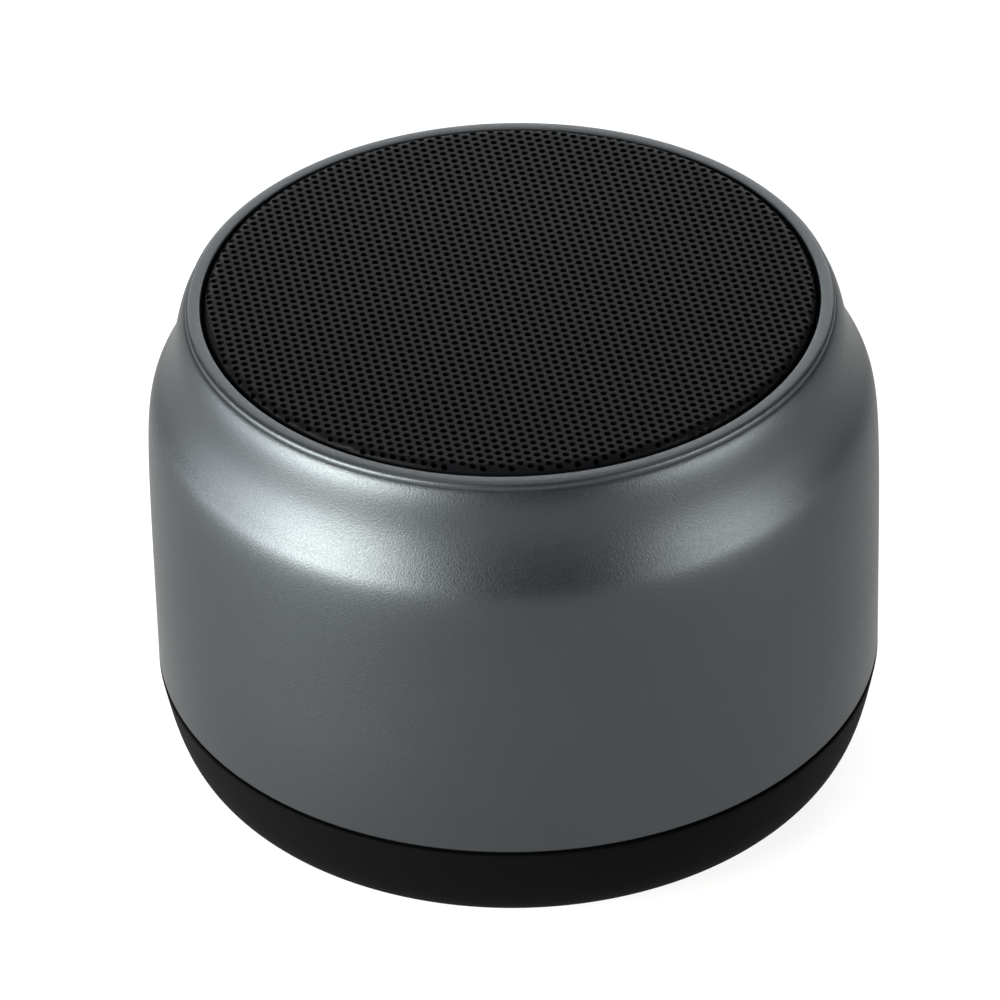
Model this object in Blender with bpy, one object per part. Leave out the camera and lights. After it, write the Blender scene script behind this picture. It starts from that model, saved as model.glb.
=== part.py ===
"""A small round portable speaker: metal shell, top grille, full-range driver, battery and circuit board.

The origin is the middle of the surface it stands on, +Z is up, and the socket and button face +Y.
Units are metres.
"""

import math

import bmesh
import bpy
from mathutils import Matrix
from mathutils.geometry import interpolate_bezier

MM = 0.001

# Clearances
GAP = 0.3 * MM
WELD = 1e-7
OVERLAP = 0.5 * MM
SHARP_ANGLE = math.radians(35)

# Facets round each turned piece
SHELL_FACETS = 40
DRIVER_FACETS = 28
SMALL_FACETS = 16
SCREW_FACETS = 12
SHOULDER_POINTS = 10
BASE_CURVE_POINTS = 7

# Overall sizes
TOTAL_HEIGHT = 42.85 * MM
BODY_RADIUS = 29.5 * MM

# Shell: a straight wall, then an S-curved shoulder up to a thin collar
SEAM_Z = 9.4 * MM
SHELL_WALL = 1.0 * MM
SHELL_EDGE = 0.25 * MM
SHOULDER_DROP = 23.9 * MM
SHOULDER_RISE_DROP = 1.95 * MM
SHOULDER_PULL_DROP = 12.66 * MM
SHOULDER_PULL_IN = 0.53 * MM
SHOULDER_END_DROP = 1.42 * MM
SHOULDER_END_RADIUS = 26.31 * MM
COLLAR_RADIUS = 25.95 * MM
COLLAR_BORE = 24.66 * MM
COLLAR_EDGE = 0.2 * MM
COLLAR_ROUND = 0.6 * MM
COLLAR_FILLET = 0.3 * MM
LIP_DEPTH = 3.9 * MM

# Grille and the cloth behind it
GRILLE_PROUD = 0.35 * MM
GRILLE_SHEET = 0.5 * MM
GRILLE_ROLL = 0.65 * MM
GRILLE_DEPTH = 2.65 * MM
CLOTH_THICKNESS = 0.25 * MM
CLOTH_MARGIN = 1.1 * MM

# Driver, from the flange down
DRIVER_HEADROOM = 3.2 * MM
FLANGE_RADIUS = 22.9 * MM
FLANGE_THICKNESS = 0.8 * MM
BASKET_WALL = 0.8 * MM
BASKET_MOUTH = 18.2 * MM
BASKET_WAIST = 14.6 * MM
BASKET_DEPTH = 11.3 * MM
BASKET_WAIST_DROP = 9.4 * MM
SPIDER_LEDGE = 1.0 * MM
SPIDER_LEDGE_WIDTH = 1.6 * MM
WINDOW_WIDTH = 10.0 * MM
WINDOW_HEIGHT = 5.2 * MM
WINDOW_DROP = 5.2 * MM
PLATE_RADIUS = 14.2 * MM
PLATE_THICKNESS = 2.2 * MM
MAGNET_RADIUS = 15.0 * MM
MAGNET_BORE = 8.8 * MM
MAGNET_HEIGHT = 5.1 * MM
YOKE_RADIUS = 14.6 * MM
YOKE_THICKNESS = 2.3 * MM
POLE_RADIUS = 6.2 * MM
COIL_CLEARANCE = 0.3 * MM
FORMER_WALL = 0.2 * MM
COIL_WINDING = 0.35 * MM
COIL_HEIGHT = 4.0 * MM
FORMER_HEIGHT = 12.2 * MM
CONE_THICKNESS = 0.3 * MM
CONE_RADIUS = 15.3 * MM
CONE_DEPTH = 4.6 * MM
CONE_FLARE = 0.8 * MM
SURROUND_LAND = 0.8 * MM
SURROUND_THICKNESS = 0.3 * MM
SURROUND_ROLL_HEIGHT = 1.0 * MM
DUST_CAP_RADIUS = 8.0 * MM
DUST_CAP_RISE = 2.4 * MM
SPIDER_THICKNESS = 0.3 * MM
SPIDER_WAVES = 3
SPIDER_WAVE_HEIGHT = 0.45 * MM
DRIVER_SCREW_CIRCLE = 21.4 * MM
GASKET_THICKNESS = 0.6 * MM
TERMINAL_THICKNESS = 0.8 * MM
TERMINAL_WIDTH = 7.0 * MM
TERMINAL_HEIGHT = 4.0 * MM
TERMINAL_DROP = 4.4 * MM

# Bracket that holds the driver and the grille, with posts down to the base
BRACKET_PLATE = 2.0 * MM
BRACKET_BORE = 20.0 * MM
RIM_CLEARANCE = 0.4 * MM
POST_RADIUS = 2.6 * MM
POST_INSET = 0.1 * MM
POST_BORE_DEPTH = 9.0 * MM
POST_COUNT = 4

# Base
FOOT_PROUD = 0.6 * MM
FOOT_INSET = 1.7 * MM
FOOT_WIDTH = 5.0 * MM
FOOT_RECESS = 0.8 * MM
FOOT_EDGE = 0.2 * MM
BASE_CURVE_WIDTH = 7.6 * MM
BASE_CURVE_PULL = 6.0 * MM
BASE_CURVE_TUCK = 1.16 * MM
BASE_CURVE_LIFT = 2.2 * MM
BASE_FLOOR = 1.8 * MM
BASE_WALL = 2.9 * MM
BASE_FILLET = 3.0 * MM
SPIGOT_HEIGHT = 3.1 * MM
SEAL_SECTION = 0.65 * MM
SEAL_RISE = 1.0 * MM
BOSS_RADIUS = 2.8 * MM
BOSS_HEIGHT = 4.6 * MM
COUNTERBORE_RADIUS = 2.1 * MM
COUNTERBORE_DEPTH = 2.2 * MM

# Screws: head radius, head height, shank radius, shank length
BASE_SCREW = (1.75 * MM, 1.2 * MM, 1.0 * MM, 11.5 * MM)
DRIVER_SCREW = (1.25 * MM, 0.9 * MM, 0.7 * MM, 4.0 * MM)
BOARD_SCREW = (1.5 * MM, 0.9 * MM, 0.8 * MM, 3.0 * MM)
SCREW_SLOT_WIDTH = 0.4 * MM
SCREW_SLOT_SHARE = 0.6

# Circuit board and what stands on it
STANDOFF = 0.7 * MM
STANDOFF_RADIUS = 2.1 * MM
BOARD_THICKNESS = 1.0 * MM
BOARD_EDGE_CLEARANCE = 0.6 * MM
BOARD_WING_CLEARANCE = 1.4 * MM
BOARD_WING_ANGLE = math.radians(36)
BOARD_SCREW_CIRCLE = 13.0 * MM
BOARD_SCREW_AZIMUTHS = (90, 210, 330)
CAPACITOR_RADIUS = 2.0 * MM
CAPACITOR_HEADROOM = 0.75 * MM

# Rear controls: azimuths are degrees from +X, so 90 is straight back
USB_WIDTH = 8.94 * MM
USB_HEIGHT = 3.2 * MM
USB_LENGTH = 7.3 * MM
USB_WALL = 0.3 * MM
USB_CORNER = 1.45 * MM
USB_RECESS = 0.6 * MM
USB_REACH = 1.6 * MM
TONGUE_WIDTH = 6.7 * MM
TONGUE_THICKNESS = 0.7 * MM
TONGUE_LENGTH = 4.6 * MM
BUTTON_AZIMUTH = 68
BUTTON_RADIUS = 2.2 * MM
BUTTON_FLANGE = 0.8 * MM
BUTTON_FLANGE_THICKNESS = 0.6 * MM
BUTTON_PROUD = 0.4 * MM
BUTTON_TRAVEL = 0.3 * MM
SWITCH_SIZE = (3.0 * MM, 4.5 * MM, 3.3 * MM)
PLUNGER_RADIUS = 0.8 * MM
PLUNGER_LENGTH = 2.0 * MM
LIGHT_AZIMUTH = 107
LED_RADIUS = 1.45 * MM
LED_LENGTH = 3.6 * MM
LED_SETBACK = 1.8 * MM
LIGHT_PIPE_RADIUS = 0.75 * MM
LIGHT_PIPE_RECESS = 0.15 * MM
MICROPHONE_AZIMUTH = 117
MICROPHONE_RADIUS = 1.6 * MM
MICROPHONE_LENGTH = 1.5 * MM
MICROPHONE_HOLE = 0.5 * MM
MICROPHONE_SETBACK = 0.6 * MM

# Battery and connectors
BATTERY_SIZE = (28.0 * MM, 24.0 * MM, 5.5 * MM)
BATTERY_EDGE = 0.8 * MM
TAPE_SIZE = (20.0 * MM, 16.0 * MM, 0.7 * MM)
SOCKET_X = 17.1 * MM
SOCKET_SIZE = (3.4 * MM, 5.0 * MM, 3.2 * MM)
SOCKET_WALL = 0.5 * MM
PLUG_LENGTH = 4.0 * MM
LEAD_RADIUS = 0.45 * MM
LEAD_SPREAD = 0.9 * MM
SPEAKER_LEAD_BOW = 7.0 * MM
SPEAKER_LEAD_DROP = 9.0 * MM
BATTERY_LEAD_BOW = 3.0 * MM
BATTERY_LEAD_DROP = 3.5 * MM
LEAD_POINTS = 11

# Heights, from the surface up
BASE_Z = FOOT_PROUD
FLOOR_Z = BASE_Z + BASE_FLOOR
BOARD_Z = FLOOR_Z + STANDOFF + GAP
BOARD_TOP_Z = BOARD_Z + BOARD_THICKNESS
PARTS_Z = BOARD_TOP_Z + GAP
REAR_Z = PARTS_Z + USB_HEIGHT / 2
LEDGE_Z = SEAM_Z - GAP
SPIGOT_Z = LEDGE_Z + SPIGOT_HEIGHT + GAP
BOSS_Z = FLOOR_Z + BOSS_HEIGHT

# Heights, from the top down
GRILLE_Z = TOTAL_HEIGHT
COLLAR_Z = TOTAL_HEIGHT - GRILLE_PROUD
RIM_Z = GRILLE_Z - GRILLE_DEPTH - GAP
CLOTH_Z = GRILLE_Z - GRILLE_SHEET - GAP
LIP_Z = COLLAR_Z - LIP_DEPTH
FLANGE_Z = CLOTH_Z - DRIVER_HEADROOM
GASKET_Z = FLANGE_Z - FLANGE_THICKNESS - GAP
SEAT_Z = GASKET_Z - GASKET_THICKNESS - GAP
BRACKET_Z = LIP_Z - GAP
BASKET_Z = FLANGE_Z - FLANGE_THICKNESS - BASKET_DEPTH
PLATE_Z = BASKET_Z - GAP
MAGNET_Z = PLATE_Z - PLATE_THICKNESS - GAP
YOKE_Z = MAGNET_Z - MAGNET_HEIGHT - GAP
YOKE_UNDER_Z = YOKE_Z - YOKE_THICKNESS
TAPE_Z = YOKE_UNDER_Z - GAP
BATTERY_Z = TAPE_Z - TAPE_SIZE[2] - GAP
CAPACITOR_Z = BATTERY_Z - BATTERY_SIZE[2] - CAPACITOR_HEADROOM

# Radii that follow from what a piece sits in
BASE_FLAT = BODY_RADIUS - BASE_CURVE_WIDTH
FOOT_OUTER = BASE_FLAT - FOOT_INSET
FOOT_INNER = FOOT_OUTER - FOOT_WIDTH
SHELL_BORE = BODY_RADIUS - SHELL_WALL
SPIGOT_RADIUS = SHELL_BORE - GAP
BASE_BORE = BODY_RADIUS - BASE_WALL
GRILLE_RADIUS = COLLAR_BORE - GAP
RIM_RADIUS = COLLAR_BORE - GAP
RIM_BORE = FLANGE_RADIUS + RIM_CLEARANCE
FORMER_BORE = POLE_RADIUS + COIL_CLEARANCE
FORMER_RADIUS = FORMER_BORE + FORMER_WALL
COIL_RADIUS = FORMER_RADIUS + GAP / 2 + COIL_WINDING
PLATE_BORE = COIL_RADIUS + COIL_CLEARANCE
SPIDER_REACH = BASKET_WAIST - SPIDER_LEDGE_WIDTH
BUTTON_FLANGE_RADIUS = BUTTON_RADIUS + BUTTON_FLANGE

# Finishes: colour, roughness, metallic
ANODISED = ((0.10, 0.125, 0.13), 0.36, 1.0)
BLACK_STEEL = ((0.012, 0.012, 0.013), 0.45, 0.6)
BLACK_PLASTIC = ((0.014, 0.014, 0.015), 0.5, 0.0)
BLACK_RUBBER = ((0.02, 0.02, 0.02), 0.8, 0.0)
BLACK_CLOTH = ((0.008, 0.008, 0.008), 0.95, 0.0)
BLACK_PAPER = ((0.025, 0.024, 0.023), 0.85, 0.0)
GREY_PLASTIC = ((0.06, 0.06, 0.065), 0.55, 0.0)
WHITE_PLASTIC = ((0.75, 0.73, 0.66), 0.45, 0.0)
ZINC = ((0.62, 0.63, 0.64), 0.32, 1.0)
FERRITE = ((0.05, 0.05, 0.052), 0.6, 0.0)
COPPER = ((0.72, 0.32, 0.12), 0.35, 1.0)
AMBER_FILM = ((0.62, 0.3, 0.05), 0.4, 0.0)
AMBER_WEAVE = ((0.55, 0.36, 0.14), 0.85, 0.0)
GREEN_BOARD = ((0.01, 0.09, 0.035), 0.35, 0.0)
SILVER_FOIL = ((0.55, 0.56, 0.58), 0.4, 0.6)
CLEAR_PLASTIC = ((0.85, 0.87, 0.9), 0.12, 0.0)
BLUE_LENS = ((0.12, 0.25, 0.8), 0.15, 0.0)
RED_INSULATION = ((0.5, 0.015, 0.01), 0.45, 0.0)
BLACK_INSULATION = ((0.01, 0.01, 0.01), 0.45, 0.0)


def clear_scene():
    for obj in list(bpy.data.objects):
        bpy.data.objects.remove(obj, do_unlink=True)


# Outlines --------------------------------------------------------------------------------------------


def bezier(start, pull_start, pull_end, end, count):
    """Points (radius, height) along one cubic curve."""
    corners = [(x, y, 0.0) for x, y in (start, pull_start, pull_end, end)]
    return [(point.x, point.y) for point in interpolate_bezier(*corners, count)]


def arc(centre, radius, from_degrees, to_degrees, count):
    steps = [from_degrees + (to_degrees - from_degrees) * i / (count - 1) for i in range(count)]
    return [
        (centre[0] + radius * math.cos(math.radians(a)), centre[1] + radius * math.sin(math.radians(a)))
        for a in steps
    ]


def radius_at(outline, height):
    """The radius of a rising outline at a height."""
    for (r0, z0), (r1, z1) in zip(outline, outline[1:]):
        if z0 <= height <= z1:
            return r0 + (r1 - r0) * (height - z0) / (z1 - z0)
    return outline[-1][0]


def height_at(outline, radius):
    """The height of a widening outline at a radius."""
    for (r0, z0), (r1, z1) in zip(outline, outline[1:]):
        if r0 <= radius <= r1:
            return z0 + (z1 - z0) * (radius - r0) / (r1 - r0)
    return outline[-1][1]


def shoulder():
    """The S-curve from the top of the straight wall to the foot of the collar."""
    top = COLLAR_Z
    return bezier(
        (BODY_RADIUS, top - SHOULDER_DROP),
        (BODY_RADIUS, top - SHOULDER_RISE_DROP),
        (BODY_RADIUS - SHOULDER_PULL_IN, top - SHOULDER_PULL_DROP),
        (SHOULDER_END_RADIUS, top - SHOULDER_END_DROP),
        SHOULDER_POINTS,
    )


def shell_lining():
    """The shoulder moved inwards by the wall, from the straight wall up to the lip."""
    outer = shoulder()
    inner = [(SHELL_BORE, outer[0][1])]
    for (r0, z0), (r1, z1), (r2, z2) in zip(outer, outer[1:], outer[2:]):
        along = math.hypot(r2 - r0, z2 - z0)
        inner.append((r1 - SHELL_WALL * (z2 - z0) / along, z1 + SHELL_WALL * (r2 - r0) / along))
    below = [point for point in inner if point[1] < LIP_Z - OVERLAP]
    return below + [(radius_at(inner, LIP_Z), LIP_Z)]


def base_curve():
    return bezier(
        (BASE_FLAT, BASE_Z),
        (BASE_FLAT + BASE_CURVE_PULL, BASE_Z),
        (BODY_RADIUS - BASE_CURVE_TUCK, BASE_Z + BASE_CURVE_LIFT),
        (BODY_RADIUS, LEDGE_Z),
        BASE_CURVE_POINTS,
    )


LEDGE_RADIUS = shell_lining()[-1][0]
BRACKET_RADIUS = LEDGE_RADIUS - GAP
SCREW_CIRCLE = BRACKET_RADIUS - POST_RADIUS - POST_INSET
BOARD_RADIUS = SCREW_CIRCLE - BOSS_RADIUS - BOARD_EDGE_CLEARANCE
WING_RADIUS = BASE_BORE - BOARD_WING_CLEARANCE
REAR_SKIN = radius_at(base_curve(), REAR_Z)
POST_AZIMUTHS = [45 + 360 * i / POST_COUNT for i in range(POST_COUNT)]


# Shapes ----------------------------------------------------------------------------------------------


def turned(outline, facets, closed=True):
    """An outline of (radius, height) turned round Z. An open one starts and ends on the axis."""
    shape = bmesh.new()
    points = [shape.verts.new((r, 0.0, z)) for r, z in outline]
    pairs = list(zip(points, points[1:]))
    if closed:
        pairs.append((points[-1], points[0]))
    edges = [shape.edges.new(pair) for pair in pairs]
    bmesh.ops.spin(
        shape,
        geom=points + edges,
        cent=(0, 0, 0),
        axis=(0, 0, 1),
        angle=math.tau,
        steps=facets,
        use_merge=True,
    )
    bmesh.ops.remove_doubles(shape, verts=shape.verts, dist=WELD)
    return shape


def ring(inner, outer, low, high, facets):
    return turned([(outer, high), (outer, low), (inner, low), (inner, high)], facets)


def disc(radius, low, high, facets, x=0.0, y=0.0):
    """A round bar, turned half a facet so that its corners miss the seams of what it cuts."""
    shape = turned([(0, high), (radius, high), (radius, low), (0, low)], facets, closed=False)
    half_facet = Matrix.Rotation(math.pi / facets, 3, "Z")
    bmesh.ops.rotate(shape, verts=shape.verts, cent=(0, 0, 0), matrix=half_facet)
    bmesh.ops.translate(shape, verts=shape.verts, vec=(x, y, 0))
    return shape


def block(x, y, z):
    """A box from three (low, high) pairs."""
    shape = bmesh.new()
    bmesh.ops.create_cube(shape, size=1.0)
    size = [high - low for low, high in (x, y, z)]
    middle = [(low + high) / 2 for low, high in (x, y, z)]
    bmesh.ops.scale(shape, verts=shape.verts, vec=size)
    bmesh.ops.translate(shape, verts=shape.verts, vec=middle)
    return shape


def standing_block(size, x, y, low):
    half_x, half_y = size[0] / 2, size[1] / 2
    return block((x - half_x, x + half_x), (y - half_y, y + half_y), (low, low + size[2]))


def rounded_bar(width, height, radius, from_x, to_x, z):
    """A bar along X whose cross-section is a rectangle with round corners."""
    shape = bmesh.new()
    corners = []
    for sign_y, sign_z, start in ((1, 1, 0), (-1, 1, 90), (-1, -1, 180), (1, -1, 270)):
        centre = (sign_y * (width / 2 - radius), z + sign_z * (height / 2 - radius))
        corners += arc(centre, radius, start, start + 90, 5)
    face = shape.faces.new([shape.verts.new((from_x, y, z)) for y, z in corners])
    pushed = bmesh.ops.extrude_face_region(shape, geom=[face])
    moved = [item for item in pushed["geom"] if isinstance(item, bmesh.types.BMVert)]
    bmesh.ops.translate(shape, verts=moved, vec=(to_x - from_x, 0, 0))
    return shape


def plate(outline, low, high):
    """A flat sheet with an outline of (x, y)."""
    shape = bmesh.new()
    face = shape.faces.new([shape.verts.new((x, y, low)) for x, y in outline])
    pushed = bmesh.ops.extrude_face_region(shape, geom=[face])
    moved = [item for item in pushed["geom"] if isinstance(item, bmesh.types.BMVert)]
    bmesh.ops.translate(shape, verts=moved, vec=(0, 0, high - low))
    return shape


# Objects ---------------------------------------------------------------------------------------------


def finish_material(name, finish):
    colour, roughness, metallic = finish
    material = bpy.data.materials.new(name)
    material.use_nodes = True
    shader = material.node_tree.nodes["Principled BSDF"]
    shader.inputs["Base Color"].default_value = (*colour, 1.0)
    shader.inputs["Roughness"].default_value = roughness
    shader.inputs["Metallic"].default_value = metallic
    return material


def link(name, data, parent):
    obj = bpy.data.objects.new(name, data)
    bpy.context.scene.collection.objects.link(obj)
    obj.parent = parent
    return obj


def mesh_object(name, shape, parent):
    bmesh.ops.recalc_face_normals(shape, faces=shape.faces)
    mesh = bpy.data.meshes.new(name)
    shape.to_mesh(mesh)
    shape.free()
    mesh.shade_smooth()
    mesh.set_sharp_from_angle(angle=SHARP_ANGLE)
    return link(name, mesh, parent)


def piece(name, shape, finish, parent):
    obj = mesh_object(name, shape, parent)
    obj.data.materials.append(finish_material(name, finish))
    return obj


def boolean(target, label, shape, operation, parent=None):
    """Joins or cuts with a helper that stays out of the model. The helper lies in its parent's frame."""
    helper = mesh_object(f"{target.name}_{label}", shape, parent or target.parent)
    helper.hide_render = True
    helper.display_type = "WIRE"
    modifier = target.modifiers.new(label, "BOOLEAN")
    modifier.operation = operation
    modifier.solver = "EXACT"
    modifier.object = helper
    return helper


def cut(target, label, shape, parent=None):
    return boolean(target, label, shape, "DIFFERENCE", parent)


def join(target, label, shape, parent=None):
    return boolean(target, label, shape, "UNION", parent)


def place_on_circle(radius, azimuth):
    return radius * math.cos(math.radians(azimuth)), radius * math.sin(math.radians(azimuth))


def station(name, azimuth, root):
    """An empty whose +X points outwards at an azimuth, on the height of the rear controls."""
    empty = link(name, None, root)
    empty.rotation_euler = (0, 0, math.radians(azimuth))
    empty.location = (0, 0, REAR_Z)
    return empty


def lay_outwards(shape):
    """Turns a shape made along +Z so that it points along +X."""
    bmesh.ops.rotate(shape, verts=shape.verts, cent=(0, 0, 0), matrix=Matrix.Rotation(math.pi / 2, 3, "Y"))
    return shape


def screw(name, size, x, y, seat_z, parent, head_down=False):
    """A cross-recess screw whose head bears on seat_z."""
    head_radius, head_height, shank_radius, length = size
    crown = head_height / 3
    outline = [
        (0, head_height),
        (head_radius - crown, head_height),
        (head_radius, head_height - crown),
        (head_radius, 0),
        (shank_radius, 0),
        (shank_radius, -length),
        (0, -length),
    ]
    obj = piece(name, turned(outline, SCREW_FACETS, closed=False), ZINC, parent)
    reach = head_radius * SCREW_SLOT_SHARE
    half = SCREW_SLOT_WIDTH / 2
    bottom = head_height * (1 - SCREW_SLOT_SHARE)
    top = head_height + OVERLAP
    for label, x_half, y_half in (("slot", reach, half), ("cross_slot", half, reach)):
        cut(obj, label, block((-x_half, x_half), (-y_half, y_half), (bottom, top)), obj)
    obj.location = (x, y, seat_z)
    obj.rotation_euler = (math.pi if head_down else 0, 0, 0)
    return obj


# Housing ---------------------------------------------------------------------------------------------


def make_outer_shell(root):
    top = COLLAR_Z
    rise = shoulder()
    outer = [(BODY_RADIUS - SHELL_EDGE, SEAM_Z), (BODY_RADIUS, SEAM_Z + SHELL_EDGE), *rise]
    collar = [
        (COLLAR_RADIUS, rise[-1][1] + COLLAR_FILLET),
        *arc((COLLAR_RADIUS - COLLAR_ROUND, top - COLLAR_ROUND), COLLAR_ROUND, 0, 90, 4),
        (COLLAR_BORE + COLLAR_EDGE, top),
        (COLLAR_BORE, top - COLLAR_EDGE),
        (COLLAR_BORE, LIP_Z),
    ]
    lining = [*reversed(shell_lining()), (SHELL_BORE, SEAM_Z)]
    piece("outer_shell", turned([*outer, *collar, *lining], SHELL_FACETS), ANODISED, root)


def make_base_tray(root, stations):
    groove_low = LEDGE_Z + SEAL_RISE
    groove_high = groove_low + SEAL_SECTION + 2 * GAP
    groove_radius = SPIGOT_RADIUS - SEAL_SECTION - GAP
    foot_in, foot_out = FOOT_INNER - GAP, FOOT_OUTER + GAP
    outline = [
        (0, BASE_Z),
        (foot_in, BASE_Z),
        (foot_in, BASE_Z + FOOT_RECESS),
        (foot_out, BASE_Z + FOOT_RECESS),
        (foot_out, BASE_Z),
        *base_curve(),
        (SPIGOT_RADIUS, LEDGE_Z),
        (SPIGOT_RADIUS, groove_low),
        (groove_radius, groove_low),
        (groove_radius, groove_high),
        (SPIGOT_RADIUS, groove_high),
        (SPIGOT_RADIUS, SPIGOT_Z),
        (BASE_BORE, SPIGOT_Z),
        *arc((BASE_BORE - BASE_FILLET, FLOOR_Z + BASE_FILLET), BASE_FILLET, 0, -90, 4),
        (0, FLOOR_Z),
    ]
    tray = piece("base_tray", turned(outline, SHELL_FACETS, closed=False), BLACK_PLASTIC, root)
    bored = BASE_SCREW[2] + GAP
    for i, azimuth in enumerate(POST_AZIMUTHS, 1):
        x, y = place_on_circle(SCREW_CIRCLE, azimuth)
        join(tray, f"boss_{i}", disc(BOSS_RADIUS, FLOOR_Z - OVERLAP, BOSS_Z, SMALL_FACETS, x, y))
        cut(tray, f"bore_{i}", disc(bored, BASE_Z - OVERLAP, BOSS_Z + OVERLAP, SCREW_FACETS, x, y))
        counterbore_top = BASE_Z + COUNTERBORE_DEPTH
        cut(
            tray,
            f"counterbore_{i}",
            disc(COUNTERBORE_RADIUS, BASE_Z - OVERLAP, counterbore_top, SMALL_FACETS, x, y),
        )
    for i, azimuth in enumerate(BOARD_SCREW_AZIMUTHS, 1):
        x, y = place_on_circle(BOARD_SCREW_CIRCLE, azimuth)
        standoff_top = FLOOR_Z + STANDOFF
        standoff = disc(STANDOFF_RADIUS, FLOOR_Z - OVERLAP, standoff_top, SMALL_FACETS, x, y)
        join(tray, f"standoff_{i}", standoff)
        low = PARTS_Z - BOARD_SCREW[3] - GAP
        cut(
            tray,
            f"pilot_{i}",
            disc(BOARD_SCREW[2] + GAP, low, standoff_top + OVERLAP, SCREW_FACETS, x, y),
        )
    inside, outside = BASE_BORE - BASE_WALL, BODY_RADIUS + BASE_WALL
    slot_size = (USB_WIDTH + 2 * GAP, USB_HEIGHT + 2 * GAP, USB_CORNER + GAP)
    cut(tray, "socket_slot", rounded_bar(*slot_size, inside, outside, 0), stations["socket"])
    for label, radius in (
        ("button", BUTTON_RADIUS + GAP),
        ("light", LIGHT_PIPE_RADIUS + GAP),
        ("microphone", MICROPHONE_HOLE),
    ):
        hole = lay_outwards(disc(radius, inside, outside, SMALL_FACETS))
        cut(tray, f"{label}_hole", hole, stations[label])
    seat = lay_outwards(disc(BUTTON_FLANGE_RADIUS + GAP, inside, BASE_BORE, SMALL_FACETS))
    cut(tray, "button_seat", seat, stations["button"])


def make_seal_and_foot(root):
    low = LEDGE_Z + SEAL_RISE + GAP
    inner = SPIGOT_RADIUS - SEAL_SECTION
    seal = ring(inner, SPIGOT_RADIUS, low, low + SEAL_SECTION, SHELL_FACETS)
    piece("shell_seal", seal, BLACK_RUBBER, root)
    top = BASE_Z + FOOT_RECESS - GAP
    outline = [
        (FOOT_OUTER, top),
        (FOOT_OUTER, FOOT_EDGE),
        (FOOT_OUTER - FOOT_EDGE, 0),
        (FOOT_INNER + FOOT_EDGE, 0),
        (FOOT_INNER, FOOT_EDGE),
        (FOOT_INNER, top),
    ]
    piece("foot_pad", turned(outline, SHELL_FACETS), BLACK_RUBBER, root)


def make_base_screws(root):
    seat = BASE_Z + COUNTERBORE_DEPTH - GAP
    for i, azimuth in enumerate(POST_AZIMUTHS, 1):
        x, y = place_on_circle(SCREW_CIRCLE, azimuth)
        screw(f"base_screw_{i}", BASE_SCREW, x, y, seat, root, head_down=True)


def make_bracket(root):
    plate_low = SEAT_Z - BRACKET_PLATE
    outline = [
        (BRACKET_BORE, plate_low),
        (BRACKET_BORE, SEAT_Z),
        (RIM_BORE, SEAT_Z),
        (RIM_BORE, RIM_Z),
        (RIM_RADIUS, RIM_Z),
        (RIM_RADIUS, BRACKET_Z),
        (BRACKET_RADIUS, BRACKET_Z),
        (BRACKET_RADIUS, plate_low),
    ]
    bracket = piece("driver_bracket", turned(outline, SHELL_FACETS), GREY_PLASTIC, root)
    low = BOSS_Z + GAP
    for i, azimuth in enumerate(POST_AZIMUTHS, 1):
        x, y = place_on_circle(SCREW_CIRCLE, azimuth)
        join(bracket, f"post_{i}", disc(POST_RADIUS, low, plate_low + OVERLAP, SMALL_FACETS, x, y))
        bored = disc(BASE_SCREW[2] + GAP, low - OVERLAP, low + POST_BORE_DEPTH, SCREW_FACETS, x, y)
        cut(bracket, f"post_bore_{i}", bored)
        x, y = place_on_circle(DRIVER_SCREW_CIRCLE, azimuth - 45)
        hole = disc(DRIVER_SCREW[2] + GAP, plate_low - OVERLAP, SEAT_Z + OVERLAP, SCREW_FACETS, x, y)
        cut(bracket, f"driver_hole_{i}", hole)


def make_grille(root):
    roll_centre = (GRILLE_RADIUS - GRILLE_ROLL, GRILLE_Z - GRILLE_ROLL)
    low = GRILLE_Z - GRILLE_DEPTH
    inside = GRILLE_RADIUS - GRILLE_SHEET
    outline = [
        (0, GRILLE_Z),
        *arc(roll_centre, GRILLE_ROLL, 90, 0, 4),
        (GRILLE_RADIUS, low),
        (inside, low),
        *arc(roll_centre, GRILLE_ROLL - GRILLE_SHEET, 0, 90, 3),
        (0, GRILLE_Z - GRILLE_SHEET),
    ]
    piece("grille", turned(outline, SHELL_FACETS, closed=False), BLACK_STEEL, root)
    cloth = disc(GRILLE_RADIUS - CLOTH_MARGIN, CLOTH_Z - CLOTH_THICKNESS, CLOTH_Z, DRIVER_FACETS)
    piece("dust_cloth", cloth, BLACK_CLOTH, root)


# Driver ----------------------------------------------------------------------------------------------


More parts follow.
